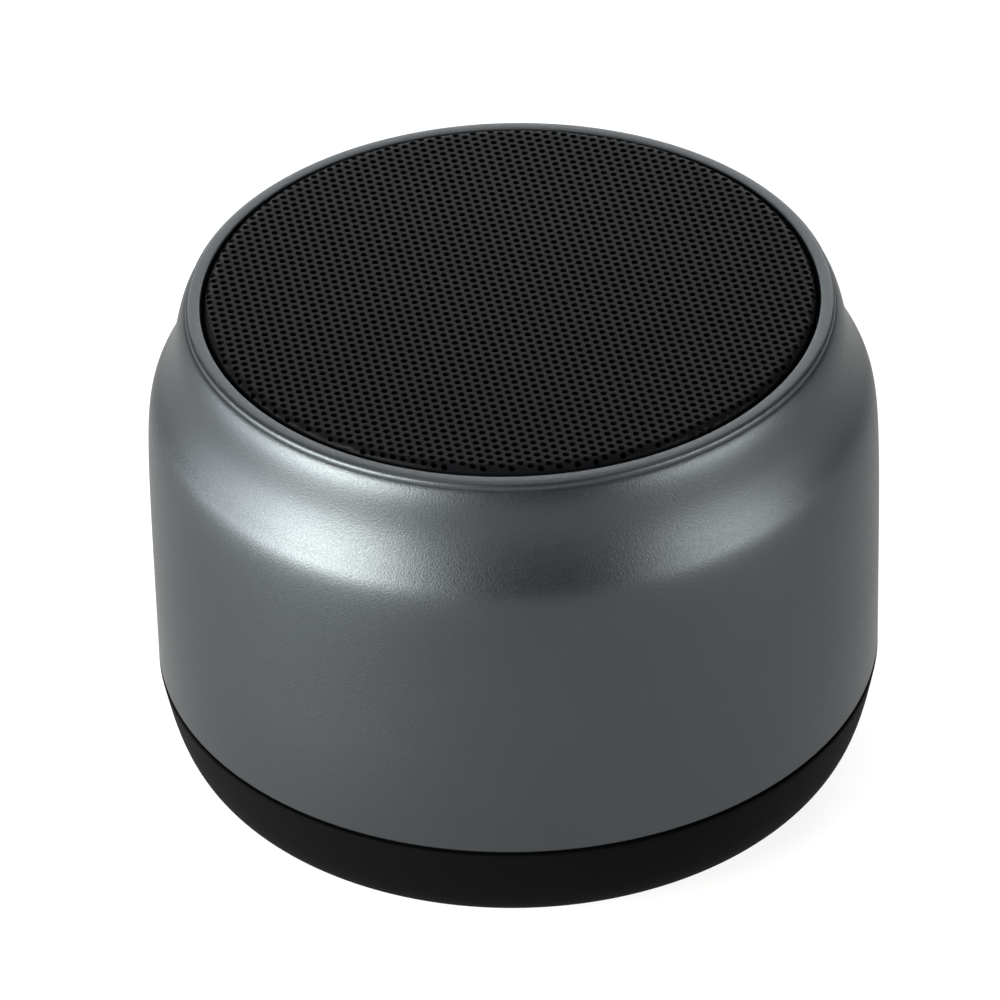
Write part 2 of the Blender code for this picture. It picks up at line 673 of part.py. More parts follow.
def make_basket(root):
    under = FLANGE_Z - FLANGE_THICKNESS
    waist_z = FLANGE_Z - BASKET_WAIST_DROP
    floor_top = BASKET_Z + BASKET_WALL
    ledge_z = floor_top + SPIDER_LEDGE
    outline = [
        (FLANGE_RADIUS, FLANGE_Z),
        (FLANGE_RADIUS, under),
        (BASKET_MOUTH + BASKET_WALL, under),
        (BASKET_WAIST + BASKET_WALL, waist_z),
        (BASKET_WAIST + BASKET_WALL, BASKET_Z),
        (PLATE_BORE + GAP, BASKET_Z),
        (PLATE_BORE + GAP, floor_top),
        (SPIDER_REACH, floor_top),
        (SPIDER_REACH, ledge_z),
        (BASKET_WAIST, ledge_z),
        (BASKET_WAIST, waist_z),
        (BASKET_MOUTH, under),
        (BASKET_MOUTH, FLANGE_Z),
    ]
    basket = piece("driver_basket", turned(outline, DRIVER_FACETS), BLACK_STEEL, root)
    window_z = FLANGE_Z - WINDOW_DROP
    window = (window_z - WINDOW_HEIGHT / 2, window_z + WINDOW_HEIGHT / 2)
    for i, azimuth in enumerate(POST_AZIMUTHS, 1):
        half = WINDOW_WIDTH / 2
        opening = block((SPIDER_REACH, FLANGE_RADIUS), (-half, half), window)
        turn = Matrix.Rotation(math.radians(azimuth), 3, "Z")
        bmesh.ops.rotate(opening, verts=opening.verts, cent=(0, 0, 0), matrix=turn)
        cut(basket, f"window_{i}", opening)
        x, y = place_on_circle(DRIVER_SCREW_CIRCLE, azimuth - 45)
        hole = disc(DRIVER_SCREW[2] + GAP, under - OVERLAP, FLANGE_Z + OVERLAP, SCREW_FACETS, x, y)
        cut(basket, f"screw_hole_{i}", hole)


def make_gasket(root):
    low = GASKET_Z - GASKET_THICKNESS
    gasket = ring(BRACKET_BORE, FLANGE_RADIUS, low, GASKET_Z, DRIVER_FACETS)
    gasket = piece("driver_gasket", gasket, BLACK_RUBBER, root)
    for i, azimuth in enumerate(POST_AZIMUTHS, 1):
        x, y = place_on_circle(DRIVER_SCREW_CIRCLE, azimuth - 45)
        hole = disc(DRIVER_SCREW[2] + GAP, low - OVERLAP, GASKET_Z + OVERLAP, SCREW_FACETS, x, y)
        cut(gasket, f"screw_hole_{i}", hole)
        screw(f"driver_screw_{i}", DRIVER_SCREW, x, y, FLANGE_Z + GAP, root)


def make_motor(root):
    top_plate = ring(PLATE_BORE, PLATE_RADIUS, PLATE_Z - PLATE_THICKNESS, PLATE_Z, DRIVER_FACETS)
    piece("top_plate", top_plate, ZINC, root)
    magnet = ring(MAGNET_BORE, MAGNET_RADIUS, MAGNET_Z - MAGNET_HEIGHT, MAGNET_Z, DRIVER_FACETS)
    piece("magnet", magnet, FERRITE, root)
    outline = [
        (0, PLATE_Z),
        (POLE_RADIUS, PLATE_Z),
        (POLE_RADIUS, YOKE_Z),
        (YOKE_RADIUS, YOKE_Z),
        (YOKE_RADIUS, YOKE_UNDER_Z),
        (0, YOKE_UNDER_Z),
    ]
    piece("yoke", turned(outline, DRIVER_FACETS, closed=False), ZINC, root)


def make_surround(root):
    """A half-roll of rubber, its lands on the flange and on the cone's edge."""
    low = FLANGE_Z + GAP
    outer = DRIVER_SCREW_CIRCLE - DRIVER_SCREW[0] - GAP
    roll_outer, roll_inner = outer - SURROUND_LAND, CONE_RADIUS
    middle, half = (roll_outer + roll_inner) / 2, (roll_outer - roll_inner) / 2
    steps = [math.pi * i / 6 for i in range(7)]
    rise = [(half * math.cos(a), SURROUND_ROLL_HEIGHT * math.sin(a)) for a in steps]
    top = [(middle + x, low + SURROUND_THICKNESS + z) for x, z in rise]
    narrowed = 1 - SURROUND_THICKNESS / half
    under = [(middle + x * narrowed, low + z) for x, z in rise]
    inner = CONE_RADIUS - SURROUND_LAND
    outline = [
        (outer, low),
        (outer, low + SURROUND_THICKNESS),
        *top,
        (inner, low + SURROUND_THICKNESS),
        (inner, low),
        *reversed(under),
    ]
    piece("surround", turned(outline, DRIVER_FACETS), BLACK_RUBBER, root)


def make_moving_parts(axis):
    """Cone, dust cap, former and coil, which slide together."""
    edge_top = FLANGE_Z
    neck = FORMER_RADIUS + GAP
    neck_top = edge_top - CONE_DEPTH
    slant = bezier(
        (neck, neck_top),
        (neck + CONE_FLARE, neck_top + CONE_FLARE),
        (CONE_RADIUS - CONE_DEPTH, edge_top - CONE_FLARE * 1.5),
        (CONE_RADIUS - SURROUND_LAND, edge_top),
        5,
    )
    below = [(r, z - CONE_THICKNESS) for r, z in reversed(slant)]
    lip = [(CONE_RADIUS, edge_top), (CONE_RADIUS, edge_top - CONE_THICKNESS)]
    piece("cone", turned([*slant, *lip, *below], DRIVER_FACETS), BLACK_PAPER, axis)

    cap_z = height_at(slant, DUST_CAP_RADIUS) + GAP
    turns = [math.pi / 8 * i for i in range(5)]
    dome = [(DUST_CAP_RADIUS * math.sin(a), cap_z + DUST_CAP_RISE * math.cos(a)) for a in turns]
    hollow = [(r * (1 - CONE_THICKNESS / DUST_CAP_RADIUS), z - CONE_THICKNESS) for r, z in dome[:-1]]
    rim = [(DUST_CAP_RADIUS - CONE_THICKNESS, cap_z)]
    cap = turned([*dome, *rim, *reversed(hollow)], DRIVER_FACETS, closed=False)
    piece("dust_cap", cap, BLACK_PAPER, axis)

    former_top = neck_top
    former = ring(FORMER_BORE, FORMER_RADIUS, former_top - FORMER_HEIGHT, former_top, DRIVER_FACETS)
    piece("coil_former", former, AMBER_FILM, axis)
    coil_middle = PLATE_Z - PLATE_THICKNESS / 2
    coil = ring(
        FORMER_RADIUS + GAP / 2,
        COIL_RADIUS,
        coil_middle - COIL_HEIGHT / 2,
        coil_middle + COIL_HEIGHT / 2,
        DRIVER_FACETS,
    )
    piece("voice_coil", coil, COPPER, axis)


def make_spider(root):
    """A corrugated disc of treated cloth, from the former out to the basket's ledge."""
    inner, outer = FORMER_RADIUS + GAP, BASKET_WAIST - GAP
    low = BASKET_Z + BASKET_WALL + SPIDER_LEDGE + GAP
    land = SPIDER_LEDGE_WIDTH - GAP
    waves_from, waves_to = inner + land / 2, outer - land
    count = SPIDER_WAVES * 4
    line = [(inner, low)]
    for i in range(count + 1):
        lift = SPIDER_WAVE_HEIGHT * math.sin(math.tau * SPIDER_WAVES * i / count)
        line.append((waves_from + (waves_to - waves_from) * i / count, low + lift))
    line.append((outer, low))
    above = [(r, z + SPIDER_THICKNESS) for r, z in reversed(line)]
    piece("spider", turned([*line, *above], DRIVER_FACETS), AMBER_WEAVE, root)


def make_terminals(root):
    """A strip on the basket's rib, and the two leads that run from it down to the board."""
    z = FLANGE_Z - TERMINAL_DROP
    reach = BASKET_MOUTH + BASKET_WALL - GAP
    strip = block(
        (reach, reach + TERMINAL_THICKNESS),
        (-TERMINAL_WIDTH / 2, TERMINAL_WIDTH / 2),
        (z - TERMINAL_HEIGHT, z),
    )
    piece("terminal_strip", strip, AMBER_FILM, root)
    start_x = reach + TERMINAL_THICKNESS + GAP
    start_z = z - TERMINAL_HEIGHT / 2
    end_z = plug_top() + GAP
    for name, side, finish in (("positive", 1, RED_INSULATION), ("negative", -1, BLACK_INSULATION)):
        y = side * LEAD_SPREAD
        lead(
            f"speaker_lead_{name}",
            (start_x, y * 2, start_z),
            (start_x + SPEAKER_LEAD_BOW, y * 2, start_z),
            (SOCKET_X, y, end_z + SPEAKER_LEAD_DROP),
            (SOCKET_X, y, end_z),
            finish,
            root,
        )


def lead(name, start, pull_start, pull_end, end, finish, parent):
    """One insulated wire along a smooth curve, as a tube with closed ends."""
    curve = bpy.data.curves.new(name, "CURVE")
    curve.dimensions = "3D"
    curve.bevel_depth = LEAD_RADIUS
    curve.bevel_resolution = 2
    curve.use_fill_caps = True
    points = interpolate_bezier(start, pull_start, pull_end, end, LEAD_POINTS)
    spline = curve.splines.new("POLY")
    spline.points.add(len(points) - 1)
    for target, point in zip(spline.points, points):
        target.co = (*point, 1.0)
    curve.materials.append(finish_material(name, finish))
    link(name, curve, parent)


# Electronics -----------------------------------------------------------------------------------------


def make_board(root):
    wing = math.degrees(BOARD_WING_ANGLE)
    outline = arc((0, 0), WING_RADIUS, 90 - wing, 90 + wing, 13)
    outline += arc((0, 0), BOARD_RADIUS, 90 + wing, 450 - wing, 33)
    board = piece("main_board", plate(outline, BOARD_Z, BOARD_TOP_Z), GREEN_BOARD, root)
    for i, azimuth in enumerate(BOARD_SCREW_AZIMUTHS, 1):
        x, y = place_on_circle(BOARD_SCREW_CIRCLE, azimuth)
        hole = disc(BOARD_SCREW[2] + GAP, BOARD_Z - OVERLAP, BOARD_TOP_Z + OVERLAP, SCREW_FACETS, x, y)
        cut(board, f"screw_hole_{i}", hole)
        screw(f"board_screw_{i}", BOARD_SCREW, x, y, PARTS_Z, root)


def make_chips(root):
    """Name, finish, length, width, height and place of each component."""
    for name, finish, size, spot in (
        ("soc_chip", FERRITE, (5.0, 5.0, 0.9), (2.0, 4.0)),
        ("amp_chip", FERRITE, (4.9, 3.9, 1.5), (7.5, -1.5)),
        ("charge_chip", FERRITE, (2.9, 1.7, 1.1), (-5.0, 12.0)),
        ("inductor", FERRITE, (4.0, 4.0, 2.0), (-6.5, 5.5)),
        ("crystal", ZINC, (3.2, 2.5, 0.7), (3.0, -1.5)),
        ("antenna", WHITE_PLASTIC, (5.0, 2.0, 1.0), (0.0, -17.0)),
    ):
        length, width, height = (side * MM for side in size)
        x, y = (side * MM for side in spot)
        piece(name, standing_block((length, width, height), x, y, PARTS_Z), finish, root)
    for i, (x, y) in enumerate(((-3.5, -7.0), (3.5, -8.0)), 1):
        can = disc(CAPACITOR_RADIUS, PARTS_Z, CAPACITOR_Z, SMALL_FACETS, x * MM, y * MM)
        piece(f"capacitor_{i}", can, SILVER_FOIL, root)


def make_charging_socket(socket):
    mouth = REAR_SKIN - USB_RECESS
    back = mouth - USB_LENGTH
    shell = rounded_bar(USB_WIDTH, USB_HEIGHT, USB_CORNER, back, mouth, 0)
    shell = piece("usb_shell", shell, ZINC, socket)
    hollow = rounded_bar(
        USB_WIDTH - 2 * USB_WALL,
        USB_HEIGHT - 2 * USB_WALL,
        USB_CORNER - USB_WALL,
        back + USB_REACH,
        mouth + OVERLAP,
        0,
    )
    cut(shell, "hollow", hollow)
    half = TONGUE_THICKNESS / 2
    start = back + USB_REACH + GAP
    tongue = block((start, start + TONGUE_LENGTH), (-TONGUE_WIDTH / 2, TONGUE_WIDTH / 2), (-half, half))
    piece("usb_tongue", tongue, BLACK_PLASTIC, socket)


def make_power_button(station_empty):
    """A capped pin that slides through the wall and presses the switch's own plunger."""
    flange_out = BASE_BORE - GAP
    flange_in = flange_out - BUTTON_FLANGE_THICKNESS
    face = REAR_SKIN + BUTTON_PROUD
    edge = GAP
    outline = [
        (0, face),
        (BUTTON_RADIUS - edge, face),
        (BUTTON_RADIUS, face - edge),
        (BUTTON_RADIUS, flange_out),
        (BUTTON_FLANGE_RADIUS, flange_out),
        (BUTTON_FLANGE_RADIUS, flange_in),
        (0, flange_in),
    ]
    button = lay_outwards(turned(outline, SMALL_FACETS, closed=False))
    piece("power_button", button, BLACK_PLASTIC, station_empty)

    tip = flange_in - GAP
    tail = tip - PLUNGER_LENGTH
    plunger = lay_outwards(disc(PLUNGER_RADIUS, tail, tip, SMALL_FACETS))
    piece("switch_plunger", plunger, WHITE_PLASTIC, station_empty)

    length, width, height = SWITCH_SIZE
    front = tip - BUTTON_TRAVEL - GAP
    low = PARTS_Z - REAR_Z
    body = block((front - length, front), (-width / 2, width / 2), (low, low + height))
    body = piece("tact_switch", body, BLACK_PLASTIC, station_empty)
    pocket_end = tail - BUTTON_TRAVEL - GAP
    pocket = lay_outwards(disc(PLUNGER_RADIUS + GAP, pocket_end, front + OVERLAP, SMALL_FACETS))
    cut(body, "pocket", pocket)


def make_light_and_microphone(light, microphone):
    front = BASE_BORE - LED_SETBACK
    outline = [
        (0, front),
        (LED_RADIUS * 0.6, front - LED_RADIUS * 0.2),
        (LED_RADIUS, front - LED_RADIUS * 0.8),
        (LED_RADIUS, front - LED_LENGTH),
        (0, front - LED_LENGTH),
    ]
    piece("led", lay_outwards(turned(outline, SMALL_FACETS, closed=False)), BLUE_LENS, light)
    pipe = lay_outwards(disc(LIGHT_PIPE_RADIUS, front + GAP, REAR_SKIN - LIGHT_PIPE_RECESS, SMALL_FACETS))
    piece("light_pipe", pipe, CLEAR_PLASTIC, light)
    back = BASE_BORE - MICROPHONE_SETBACK - MICROPHONE_LENGTH
    capsule = lay_outwards(disc(MICROPHONE_RADIUS, back, back + MICROPHONE_LENGTH, SMALL_FACETS))
    piece("microphone", capsule, ZINC, microphone)


def plug_top():
    return PARTS_Z + SOCKET_WALL + GAP + PLUG_LENGTH


def make_connectors(root):
    """A two-way socket on each side of the board, with its plug in it."""
    for name, side in (("speaker", 1), ("battery", -1)):
        x = side * SOCKET_X
        socket = standing_block(SOCKET_SIZE, x, 0, PARTS_Z)
        socket = piece(f"{name}_socket", socket, WHITE_PLASTIC, root)
        length, width, height = SOCKET_SIZE
        inner = (length - 2 * SOCKET_WALL, width - 2 * SOCKET_WALL, height + OVERLAP)
        cut(socket, "pocket", standing_block(inner, x, 0, PARTS_Z + SOCKET_WALL))
        fitted = (inner[0] - 2 * GAP, inner[1] - 2 * GAP, PLUG_LENGTH)
        plug = standing_block(fitted, x, 0, PARTS_Z + SOCKET_WALL + GAP)
        piece(f"{name}_plug", plug, WHITE_PLASTIC, root)


def make_battery(root):
    length, width, height = BATTERY_SIZE
    cell = standing_block(BATTERY_SIZE, 0, 0, BATTERY_Z - height)
    cell = piece("battery_cell", cell, SILVER_FOIL, root)
    bevel = cell.modifiers.new("edge", "BEVEL")
    bevel.width = BATTERY_EDGE
    bevel.segments = 2
    tape = standing_block(TAPE_SIZE, 0, 0, TAPE_Z - TAPE_SIZE[2])
    piece("battery_tape", tape, BLACK_CLOTH, root)
    start_x = -length / 2 - GAP
    start_z = BATTERY_Z - height / 3
    end_z = plug_top() + GAP
    for name, side, finish in (("positive", 1, RED_INSULATION), ("negative", -1, BLACK_INSULATION)):
        y = side * LEAD_SPREAD
        lead(
            f"battery_lead_{name}",
            (start_x, y, start_z),
            (start_x - BATTERY_LEAD_BOW, y, start_z),
            (-SOCKET_X, y, end_z + BATTERY_LEAD_DROP),
            (-SOCKET_X, y, end_z),
            finish,
            root,
        )


def make_speaker():
    clear_scene()
    root = link("speaker", None, None)
    diaphragm_axis = link("diaphragm_axis", None, root)
    stations = {
        "socket": station("socket_station", 90, root),
        "button": station("button_station", BUTTON_AZIMUTH, root),
        "light": station("light_station", LIGHT_AZIMUTH, root),
        "microphone": station("microphone_station", MICROPHONE_AZIMUTH, root),
    }
    make_outer_shell(root)
    make_base_tray(root, stations)
    make_seal_and_foot(root)
    make_base_screws(root)
    make_bracket(root)
    make_grille(root)
    make_basket(root)
    make_gasket(root)
    make_motor(root)
    make_surround(root)
    make_moving_parts(diaphragm_axis)
    make_spider(root)
    make_terminals(root)
    make_board(root)
    make_chips(root)
    make_charging_socket(stations["socket"])
    make_power_button(stations["button"])
    make_light_and_microphone(stations["light"], stations["microphone"])
    make_connectors(root)
    make_battery(root)


make_speaker()
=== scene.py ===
# %% [markdown]
# # A small round portable speaker
#
# The speaker has five things that show: a gun-metal shell with a straight wall and an S-curved
# shoulder, a thin raised collar, a black perforated grille set inside the collar, a near-black base
# with a rounded underside, and a rubber foot ring. A driver, a battery and a circuit board sit
# inside. The hidden CAD model gives the sizes and the moving bodies. This lesson builds the looks
# round it, one piece at a time.

import math

import bmesh
import bpy
from mathutils import Matrix, Vector
from mathutils.geometry import interpolate_bezier


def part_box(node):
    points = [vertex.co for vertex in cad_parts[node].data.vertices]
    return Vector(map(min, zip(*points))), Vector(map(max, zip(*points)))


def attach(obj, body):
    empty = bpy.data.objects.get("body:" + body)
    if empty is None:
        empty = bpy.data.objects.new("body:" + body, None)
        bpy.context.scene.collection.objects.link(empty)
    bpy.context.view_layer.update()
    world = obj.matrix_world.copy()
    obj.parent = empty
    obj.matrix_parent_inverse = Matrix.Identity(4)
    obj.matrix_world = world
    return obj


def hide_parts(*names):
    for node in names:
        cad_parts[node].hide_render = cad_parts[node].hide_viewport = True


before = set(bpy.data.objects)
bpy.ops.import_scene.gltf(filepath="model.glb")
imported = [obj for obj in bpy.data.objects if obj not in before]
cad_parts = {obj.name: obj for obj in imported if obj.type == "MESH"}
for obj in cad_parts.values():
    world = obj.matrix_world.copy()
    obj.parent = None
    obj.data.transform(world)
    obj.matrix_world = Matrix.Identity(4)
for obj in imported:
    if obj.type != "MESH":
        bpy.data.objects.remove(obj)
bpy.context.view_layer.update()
MM = 0.001

# %% [markdown]
# ## The camera
#
# A long lens far away gives the flat, catalogue look of a product shot, because near and far edges
# keep almost the same scale. The camera could be posed by hand. Here it is placed by three plain
# facts: how high it looks from, how far away it is and what point it looks at, so that each one can
# be changed alone. The aim is a little off the speaker's middle, and the camera is rolled by about
# a degree.

# %% Camera
CAMERA_ELEVATION = math.radians(35.707)
CAMERA_DISTANCE = 602.3 * MM
CAMERA_LENS_MM = 266.7
CAMERA_ROLL = math.radians(-1.379)
SENSOR_WIDTH_MM = 36
SUBJECT_HEIGHT = 19.775 * MM
AIM_LEFT = 1.27 * MM
AIM_UP = 2.31 * MM


def place_camera():
    toward = Vector((0, -math.cos(CAMERA_ELEVATION), math.sin(CAMERA_ELEVATION)))
    right = Vector((1, 0, 0))
    up = toward.cross(right)
    cos_roll, sin_roll = math.cos(CAMERA_ROLL), math.sin(CAMERA_ROLL)
    right, up = right * cos_roll + up * sin_roll, up * cos_roll - right * sin_roll
    subject = Vector((0, 0, SUBJECT_HEIGHT))
    place = subject + toward * CAMERA_DISTANCE
    aim = subject - right * AIM_LEFT + up * AIM_UP
    backward = (place - aim).normalized()
    side = up.cross(backward).normalized()
    turned_up = backward.cross(side)
    data = bpy.data.cameras.new("studio_camera")
    data.lens = CAMERA_LENS_MM
    data.sensor_width = SENSOR_WIDTH_MM
    data.clip_start, data.clip_end = 0.01, 20
    camera = bpy.data.objects.new("studio_camera", data)
    facing = Matrix((side, turned_up, backward)).transposed().to_4x4()
    camera.matrix_world = Matrix.Translation(place) @ facing
    bpy.context.scene.collection.objects.link(camera)
    bpy.context.scene.camera = camera
    return camera


camera = place_camera()
print("camera stands at", [round(v, 3) for v in camera.matrix_world.translation], "m")

# %% [markdown]
# ## Light and floor
#
# Satin metal shows its surroundings, so the lamps are what gives the shell its shape. A soft box on
# each side of the camera puts one soft blot on each half of the shoulder, and the dark room between
# them keeps the front of the shoulder dark. A low panel further round to the left lightens the wall
# there, a weak lamp above and a wide one behind pick out the collar's rim. The floor is grey paper
# that gives off light of its own: that keeps it white, and leaves hardly any shadow. Each lamp is
# given by its brightness rather than its power, because brightness is what a reflection shows.

# %% Lamps, room and floor
LAMP_AIM_HEIGHT = 20 * MM
FLOOR_RADIUS = 3.0


def soft_box(name, azimuth, elevation, distance, width, height, brightness, colour=(1, 1, 1)):
    """A rectangular lamp facing the speaker. Azimuth runs from the camera's side to the right."""
    data = bpy.data.lights.new(name, "AREA")
    data.shape = "RECTANGLE"
    data.size, data.size_y = width, height
    data.energy = math.pi * width * height * brightness
    data.color = colour
    lamp = bpy.data.objects.new(name, data)
    a, e = math.radians(azimuth), math.radians(elevation)
    middle = Vector((0, 0, LAMP_AIM_HEIGHT))
    out = Vector((math.sin(a) * math.cos(e), -math.cos(a) * math.cos(e), math.sin(e)))
    lamp.location = middle + out * distance
    lamp.rotation_euler = out.to_track_quat("Z", "Y").to_euler()
    bpy.context.scene.collection.objects.link(lamp)
    return lamp


soft_box("left_soft_box", -56, 14, 0.50, 0.34, 0.26, 26.5, (0.99, 0.985, 0.92))
soft_box("right_soft_box", 64, 12, 0.55, 0.38, 0.20, 12.5, (1.0, 0.985, 0.95))
soft_box("left_low_panel", -80, 2, 0.35, 0.34, 0.10, 13.0, (0.97, 0.99, 1.0))
soft_box("overhead_soft_box", 180, 84, 0.75, 0.8, 0.7, 2.0)
soft_box("rear_soft_box", 180, 22, 0.8, 1.1, 0.24, 9.0)

world = bpy.data.worlds.new("studio_room")
world.use_nodes = True
room = world.node_tree.nodes["Background"]
room.inputs["Color"].default_value = (0.96, 0.98, 1.0, 1)
room.inputs["Strength"].default_value = 0.08
bpy.context.scene.world = world
bpy.context.scene.view_settings.view_transform = "Standard"


def studio_floor():
    shape = bmesh.new()
    bmesh.ops.create_circle(shape, cap_ends=True, segments=96, radius=FLOOR_RADIUS)
    mesh = bpy.data.meshes.new("studio_floor")
    shape.to_mesh(mesh)
    shape.free()
    floor = bpy.data.objects.new("studio_floor", mesh)
    bpy.context.scene.collection.objects.link(floor)
    paper = bpy.data.materials.new("floor_paper")
    paper.use_nodes = True
    shader = paper.node_tree.nodes["Principled BSDF"]
    shader.inputs["Base Color"].default_value = (0.2, 0.2, 0.2, 1)
    shader.inputs["Roughness"].default_value = 0.9
    shader.inputs["Emission Color"].default_value = (1, 1, 1, 1)
    shader.inputs["Emission Strength"].default_value = 0.84
    mesh.materials.append(paper)
    return floor


studio_floor()

# %% [markdown]
# ## How a finish is made
#
# Every real surface varies a little: in colour over centimetres, and in height over a tenth of a
# millimetre. One helper builds that as a chain of nodes. A broad noise mixes two shades, a fine
# noise drives both the bump and a small spread of the roughness. The noises read Object
# coordinates, so their scales are in real units and don't stretch. Values that are the same all
# over go on the shader itself.

# %% A helper for finishes


def wire(tree, source, output, target, socket):
    tree.links.new(source.outputs[output], target.inputs[socket])


def node(tree, kind, **values):
    """A new node, with its properties and its unlinked inputs set by name."""
    made = tree.nodes.new(kind)
    for key, value in values.items():
        if hasattr(made, key):
            setattr(made, key, value)
        else:
            made.inputs[key.replace("_", " ")].default_value = value
    return made


def noise(tree, coords, size, detail=2.0, stretch=(1, 1, 1)):
    """A noise whose lumps are about size metres across."""
    mapping = node(tree, "ShaderNodeMapping", Scale=stretch)
    made = node(tree, "ShaderNodeTexNoise", Scale=1.0 / size, Detail=detail)
    wire(tree, coords, "Object", mapping, "Vector")
    wire(tree, mapping, "Vector", made, "Vector")
    return made


def spread(tree, source, output, low, high, from_low=0.3, from_high=0.7):
    made = node(tree, "ShaderNodeMapRange")
    ends = {"From Min": from_low, "From Max": from_high, "To Min": low, "To Max": high}
    for socket, value in ends.items():
        made.inputs[socket].default_value = value
    wire(tree, source, output, made, "Value")
    return made


def shades(tree, source, output, dark, light):
    """Two shades mixed by a value from 0 to 1."""
    made = node(tree, "ShaderNodeMix", data_type="RGBA")
    made.inputs[6].default_value = (*dark, 1)
    made.inputs[7].default_value = (*light, 1)
    wire(tree, source, output, made, 0)
    return made


def finish(
    name,
    colour,
    roughness,
    metallic=0.0,
    shade=0.12,
    shade_size=9 * MM,
    rough_spread=0.05,
    grain_size=0.12 * MM,
    grain_depth=0.01 * MM,
    stretch=(1, 1, 1),
    **sockets,
):
    """A Principled material with soft colour variation, a spread of roughness and a fine grain."""
    material = bpy.data.materials.new(name)
    material.use_nodes = True
    tree = material.node_tree
    shader = tree.nodes["Principled BSDF"]
    coords = node(tree, "ShaderNodeTexCoord")
    broad = noise(tree, coords, shade_size, 3.0, stretch)
    dark = tuple(c * (1 - shade) for c in colour)
    light = tuple(min(1.0, c * (1 + shade)) for c in colour)
    level = spread(tree, broad, "Factor" if "Factor" in broad.outputs else "Fac", 0, 1)
    mixed = shades(tree, level, "Result", dark, light)
    tree.links.new(mixed.outputs[2], shader.inputs["Base Color"])
    fine = noise(tree, coords, grain_size, 2.0, stretch)
    fine_value = fine.outputs[0]
    rough = spread(tree, fine, fine_value.name, roughness - rough_spread, roughness + rough_spread)
    wire(tree, rough, "Result", shader, "Roughness")
    bump = node(tree, "ShaderNodeBump", Strength=1.0, Distance=grain_depth)
    tree.links.new(fine_value, bump.inputs["Height"])
    wire(tree, bump, "Normal", shader, "Normal")
    shader.inputs["Metallic"].default_value = metallic
    for socket, value in sockets.items():
        shader.inputs[socket.replace("_", " ")].default_value = value
    return material


print("the finish helper is ready")

# %% [markdown]
# ## Turned shapes
#
# Most of this speaker is round, and was pressed, turned or moulded about one axis. An outline of
# radius and height, spun about Z, is the quickest way to an exact round piece, and small arcs in
# the outline give every edge its real radius without a Bevel modifier. Doubles are merged first and
# the faces are then turned outwards, because a spin can leave them inside out.

# %% Outline and lathe helpers
ROUND_STEPS = 192
SMOOTH_ANGLE = 32
WELD = 1e-6


def arc(centre_r, centre_z, radius, start, end, count=5):
    """Points (radius, height) in mm on an arc given in degrees, 0 pointing outwards and 90 up."""
    turns = [math.radians(start + (end - start) * i / (count - 1)) for i in range(count)]
    return [(centre_r + radius * math.cos(t), centre_z + radius * math.sin(t)) for t in turns]


def curve(start, pull_start, pull_end, end, count):
    corners = [(r, z, 0.0) for r, z in (start, pull_start, pull_end, end)]
    return [(point.x, point.y) for point in interpolate_bezier(*corners, count)]


def smoothed(mesh, angle=SMOOTH_ANGLE):
    mesh.shade_smooth()
    mesh.set_sharp_from_angle(angle=math.radians(angle))


def finished_object(shape, name, material=None):
    """Welds the mesh, turns its faces outwards and links it at the origin."""
    bmesh.ops.remove_doubles(shape, verts=shape.verts, dist=WELD)
    bmesh.ops.recalc_face_normals(shape, faces=shape.faces)
    mesh = bpy.data.meshes.new(name)
    shape.to_mesh(mesh)
    shape.free()
    smoothed(mesh)
    obj = bpy.data.objects.new(name, mesh)
    bpy.context.scene.collection.objects.link(obj)
    if material:
        mesh.materials.append(material)
    return obj


def lathe(outline, steps=ROUND_STEPS, closed=True):
    """An outline of (radius, height) in mm turned round Z. An open one ends on the axis."""
    shape = bmesh.new()
    points = [shape.verts.new((r * MM, 0, z * MM)) for r, z in outline]
    pairs = list(zip(points, points[1:]))
    if closed:
        pairs.append((points[-1], points[0]))
    edges = [shape.edges.new(pair) for pair in pairs]
    bmesh.ops.spin(
        shape,
        geom=points + edges,
        cent=(0, 0, 0),
        axis=(0, 0, 1),
        angle=math.tau,
        steps=steps,
        use_merge=True,
    )
    bmesh.ops.remove_doubles(shape, verts=shape.verts, dist=WELD)
    return shape


def evaluated_mesh(obj):
    """What the object's modifiers make of it, as a plain mesh."""
    graph = bpy.context.evaluated_depsgraph_get()
    return bpy.data.meshes.new_from_object(obj.evaluated_get(graph))


def carve(obj, cutters, operation="DIFFERENCE"):
    """Cuts or joins whole pieces with the exact solver, then keeps the result as a plain mesh."""
    for cutter in cutters:
        modifier = obj.modifiers.new("carve", "BOOLEAN")
        modifier.operation, modifier.solver, modifier.object = operation, "EXACT", cutter
        bpy.context.view_layer.update()
        made = evaluated_mesh(obj)
        obj.modifiers.remove(modifier)
        obj.data = made
        bpy.data.objects.remove(cutter)
    smoothed(obj.data)
    return obj


print("round pieces are turned in", ROUND_STEPS, "steps")

# %% [markdown]
# ## The shell
#
# The shell is an aluminium pressing, bead-blasted and anodised gun-metal grey. Its straight wall
# runs up to an S-curved shoulder, a crown that leans in, and a thin collar with a rounded outer
# edge. Modelling it as a subdivision cage would round the collar away, so the outline is drawn with
# real arcs and turned. The finish has a very fine grain in its bump, a soft cloud in its colour,
# and a satin roughness. The lining follows the shoulder one wall's thickness inside it.

